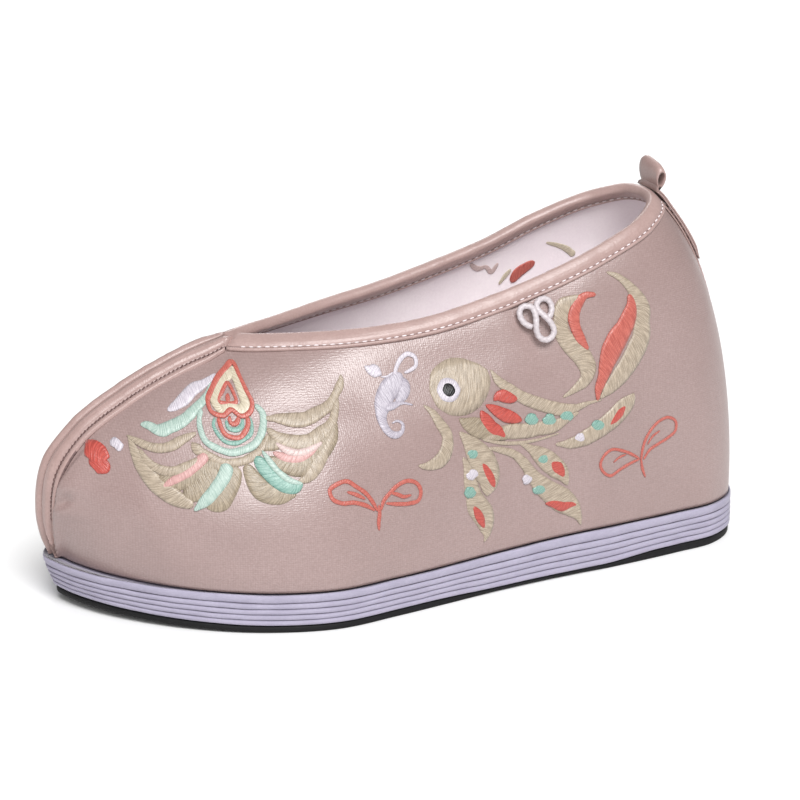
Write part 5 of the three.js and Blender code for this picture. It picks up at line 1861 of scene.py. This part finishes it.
class StitchRows:
    """Rows of stitches, all spread by one node tree."""

    def __init__(self) -> None:
        """Starts without a tree; the first row makes it."""
        self._tree: bpy.types.NodeTree | None = None

    def row(self, name: str, line: Array, facing: Array, stitch: Stitch) -> None:
        """Lays one row of stitches along a line.

        Args:
            name: the object's name.
            line: points on the cloth, in millimetres.
            facing: outward directions at those points.
            stitch: size, thread and lean of the stitches.
        """
        run = chord_runs(line)
        at = np.arange(stitch.pitch / 2, run[-1], stitch.pitch)

        def spread(values: Array, where: Array) -> Array:
            return np.stack([np.interp(where, run, values[:, k]) for k in range(3)], -1)

        lay = unit(spread(line, np.minimum(at + 0.5, run[-1])) - spread(line, np.maximum(at - 0.5, 0)))
        out = unit(spread(facing, at))
        lay = unit(lay + stitch.slant * np.cross(out, lay))
        mesh = bpy.data.meshes.new(name + "_points")
        mesh.from_pydata(to_scene(spread(line, at)), [], [])
        for label, values in (("lay", lay), ("facing", out)):
            mesh.attributes.new(label, "FLOAT_VECTOR", "POINT").data.foreach_set("vector", values.ravel())
        carrier = bpy.data.objects.new(name + "_points", mesh)
        bpy.context.scene.collection.objects.link(carrier)
        modifier = carrier.modifiers.new("stitches", "NODES")
        modifier.node_group = self.tree
        wanted = {
            "Length": stitch.length / 1000,
            "Girth": stitch.girth / 1000,
            "Shortest": 0.86,
            "Longest": 1.08,
            "Seed": 7,
            "Material": stitch.finish.material(),
        }
        for item in self.tree.interface.items_tree:
            if item.item_type == "SOCKET" and item.in_out == "INPUT" and item.name in wanted:
                modifier[item.identifier] = wanted[item.name]
        stitched = carrier.evaluated_get(bpy.context.evaluated_depsgraph_get())
        plain_mesh = bpy.data.meshes.new_from_object(stitched)
        bpy.data.objects.remove(carrier)
        bpy.data.meshes.remove(mesh)
        plain_mesh.materials.clear()
        dress(bpy.data.objects.new(name, plain_mesh), (stitch.finish,))

    @property
    def tree(self) -> bpy.types.NodeTree:
        """Node tree that puts a stitch on every point of a row."""
        if self._tree:
            return self._tree
        tree = bpy.data.node_groups.new("stitch row", "GeometryNodeTree")
        for name, kind in STITCH_SOCKETS:
            tree.interface.new_socket(name, in_out="INPUT", socket_type="NodeSocket" + kind)
        tree.interface.new_socket("Geometry", in_out="OUTPUT", socket_type="NodeSocketGeometry")

        def add(kind: str, inputs: dict | None = None, **settings) -> bpy.types.NodeSocket:
            made = add_node(tree, kind, inputs, **settings).outputs
            return next((socket for socket in made if socket.enabled), None)

        given = add_node(tree, "NodeGroupInput").outputs
        size = add("ShaderNodeCombineXYZ", {0: given["Length"], 1: given["Girth"], 2: given["Girth"]})
        limits = {2: given["Shortest"], 3: given["Longest"], "Seed": given["Seed"]}
        uneven = add("FunctionNodeRandomValue", limits, data_type="FLOAT")
        scale = add("ShaderNodeVectorMath", {0: size, "Scale": uneven}, operation="SCALE")
        turn = None
        for axis, pivot, label in (("X", "AUTO", "lay"), ("Z", "X", "facing")):
            where = add("GeometryNodeInputNamedAttribute", {"Name": label}, data_type="FLOAT_VECTOR")
            inputs = {"Vector": where, "Rotation": turn} if turn else {"Vector": where}
            turn = add("FunctionNodeAlignRotationToVector", inputs, axis=axis, pivot_axis=pivot)
        ball = add("GeometryNodeMeshUVSphere", {"Segments": 8, "Rings": 5, "Radius": 0.5})
        placing = {"Points": given["Geometry"], "Instance": ball, "Rotation": turn, "Scale": scale}
        real = add("GeometryNodeRealizeInstances", {0: add("GeometryNodeInstanceOnPoints", placing)})
        smooth = add("GeometryNodeSetShadeSmooth", {0: real})
        painted = add("GeometryNodeSetMaterial", {"Geometry": smooth, "Material": given["Material"]})
        add("NodeGroupOutput", {0: painted})
        self._tree = tree
        return tree


STITCHES = StitchRows()
LAMP_TARGET = (0.08, 0.0, 0.05)


@dataclass
class Lamp:
    """One soft studio light, aimed at the shoe.

    size is a softbox's width in metres, or a far light's angle in degrees.
    """

    name: str
    place: tuple[float, float, float]
    power: float
    size: float
    far: bool = False

    def build(self) -> None:
        """Makes the lamp."""
        data = bpy.data.lights.new(self.name, "SUN" if self.far else "AREA")
        data.energy = self.power
        if self.far:
            data.angle = math.radians(self.size)
        else:
            data.shape, data.size = "DISK", self.size
        lamp = bpy.data.objects.new(self.name, data)
        lamp.location = self.place
        aim = Vector(LAMP_TARGET) - lamp.location
        lamp.rotation_euler = aim.to_track_quat("-Z", "Y").to_euler()
        bpy.context.scene.collection.objects.link(lamp)


@dataclass
class Studio:
    """White paper floor, soft light and the photo's camera."""

    azimuth: float = 156.7
    elevation: float = 17.5
    distance: float = 0.9
    lens: float = 119.07
    target: tuple[float, float, float] = (0.08084, -0.01982, 0.05)
    floor_size: float = 8.0
    room_light: float = 0.24

    def build(self) -> None:
        """Makes the stage and sets the camera."""
        scene = bpy.context.scene
        half = self.floor_size / 2
        mesh = bpy.data.meshes.new("floor")
        corners = [(-half, -half, 0), (half, -half, 0), (half, half, 0), (-half, half, 0)]
        mesh.from_pydata(corners, [], [(0, 1, 2, 3)])
        floor = bpy.data.objects.new("floor", mesh)
        mesh.materials.append(FLOOR.material())
        scene.collection.objects.link(floor)
        world = bpy.data.worlds.new("soft white room")
        world.use_nodes = True
        shade = world.node_tree.nodes["Background"].inputs
        shade["Color"].default_value = linear("ffffff")
        shade["Strength"].default_value = self.room_light
        scene.world = world
        scene.view_settings.view_transform = "Standard"
        for lamp in LAMPS:
            lamp.build()
        turn, rise = math.radians(self.azimuth), math.radians(self.elevation)
        back = Vector((math.sin(turn) * math.cos(rise), -math.cos(turn) * math.cos(rise), math.sin(rise)))
        camera = bpy.data.objects.new("camera", bpy.data.cameras.new("camera"))
        camera.data.lens = self.lens
        camera.data.sensor_width = 36.0
        camera.location = Vector(self.target) + back * self.distance
        camera.rotation_euler = (-back).to_track_quat("-Z", "Y").to_euler()
        scene.collection.objects.link(camera)
        scene.camera = camera


LAMPS = (
    Lamp("overhead light", (0.3, 1.5, 1.85), 3.3, 30.0, far=True),
    Lamp("camera side softbox", (0.8, 1.35, 0.75), 5.5, 0.5),
    Lamp("rim softbox", (-0.4, -1.1, 0.8), 5.0, 0.7),
)


def main() -> None:
    """Builds the shoe over its frame."""
    logging.basicConfig(level=logging.INFO, format="%(name)s %(message)s")
    form = ShoeForm(SIZES)
    Upper(form).build()
    CollarBinding(form).build()
    FrontSeam(form, OUTER, "front_seam_outer").build()
    FrontSeam(form, INNER, "front_seam_inner").build()
    HeelTape(form).build()
    Sole(form).build()
    Footbed(form).build()
    CordKnot(form).build()
    Embroidery(form, OUTER, "outer").build()
    Embroidery(form, INNER, "inner").build()
    Embroidery(form, INNER, "backing", BACKING, -SIZES.wall, BACKING_PUFF).build()
    Studio().build()


if __name__ == "__main__":
    main()
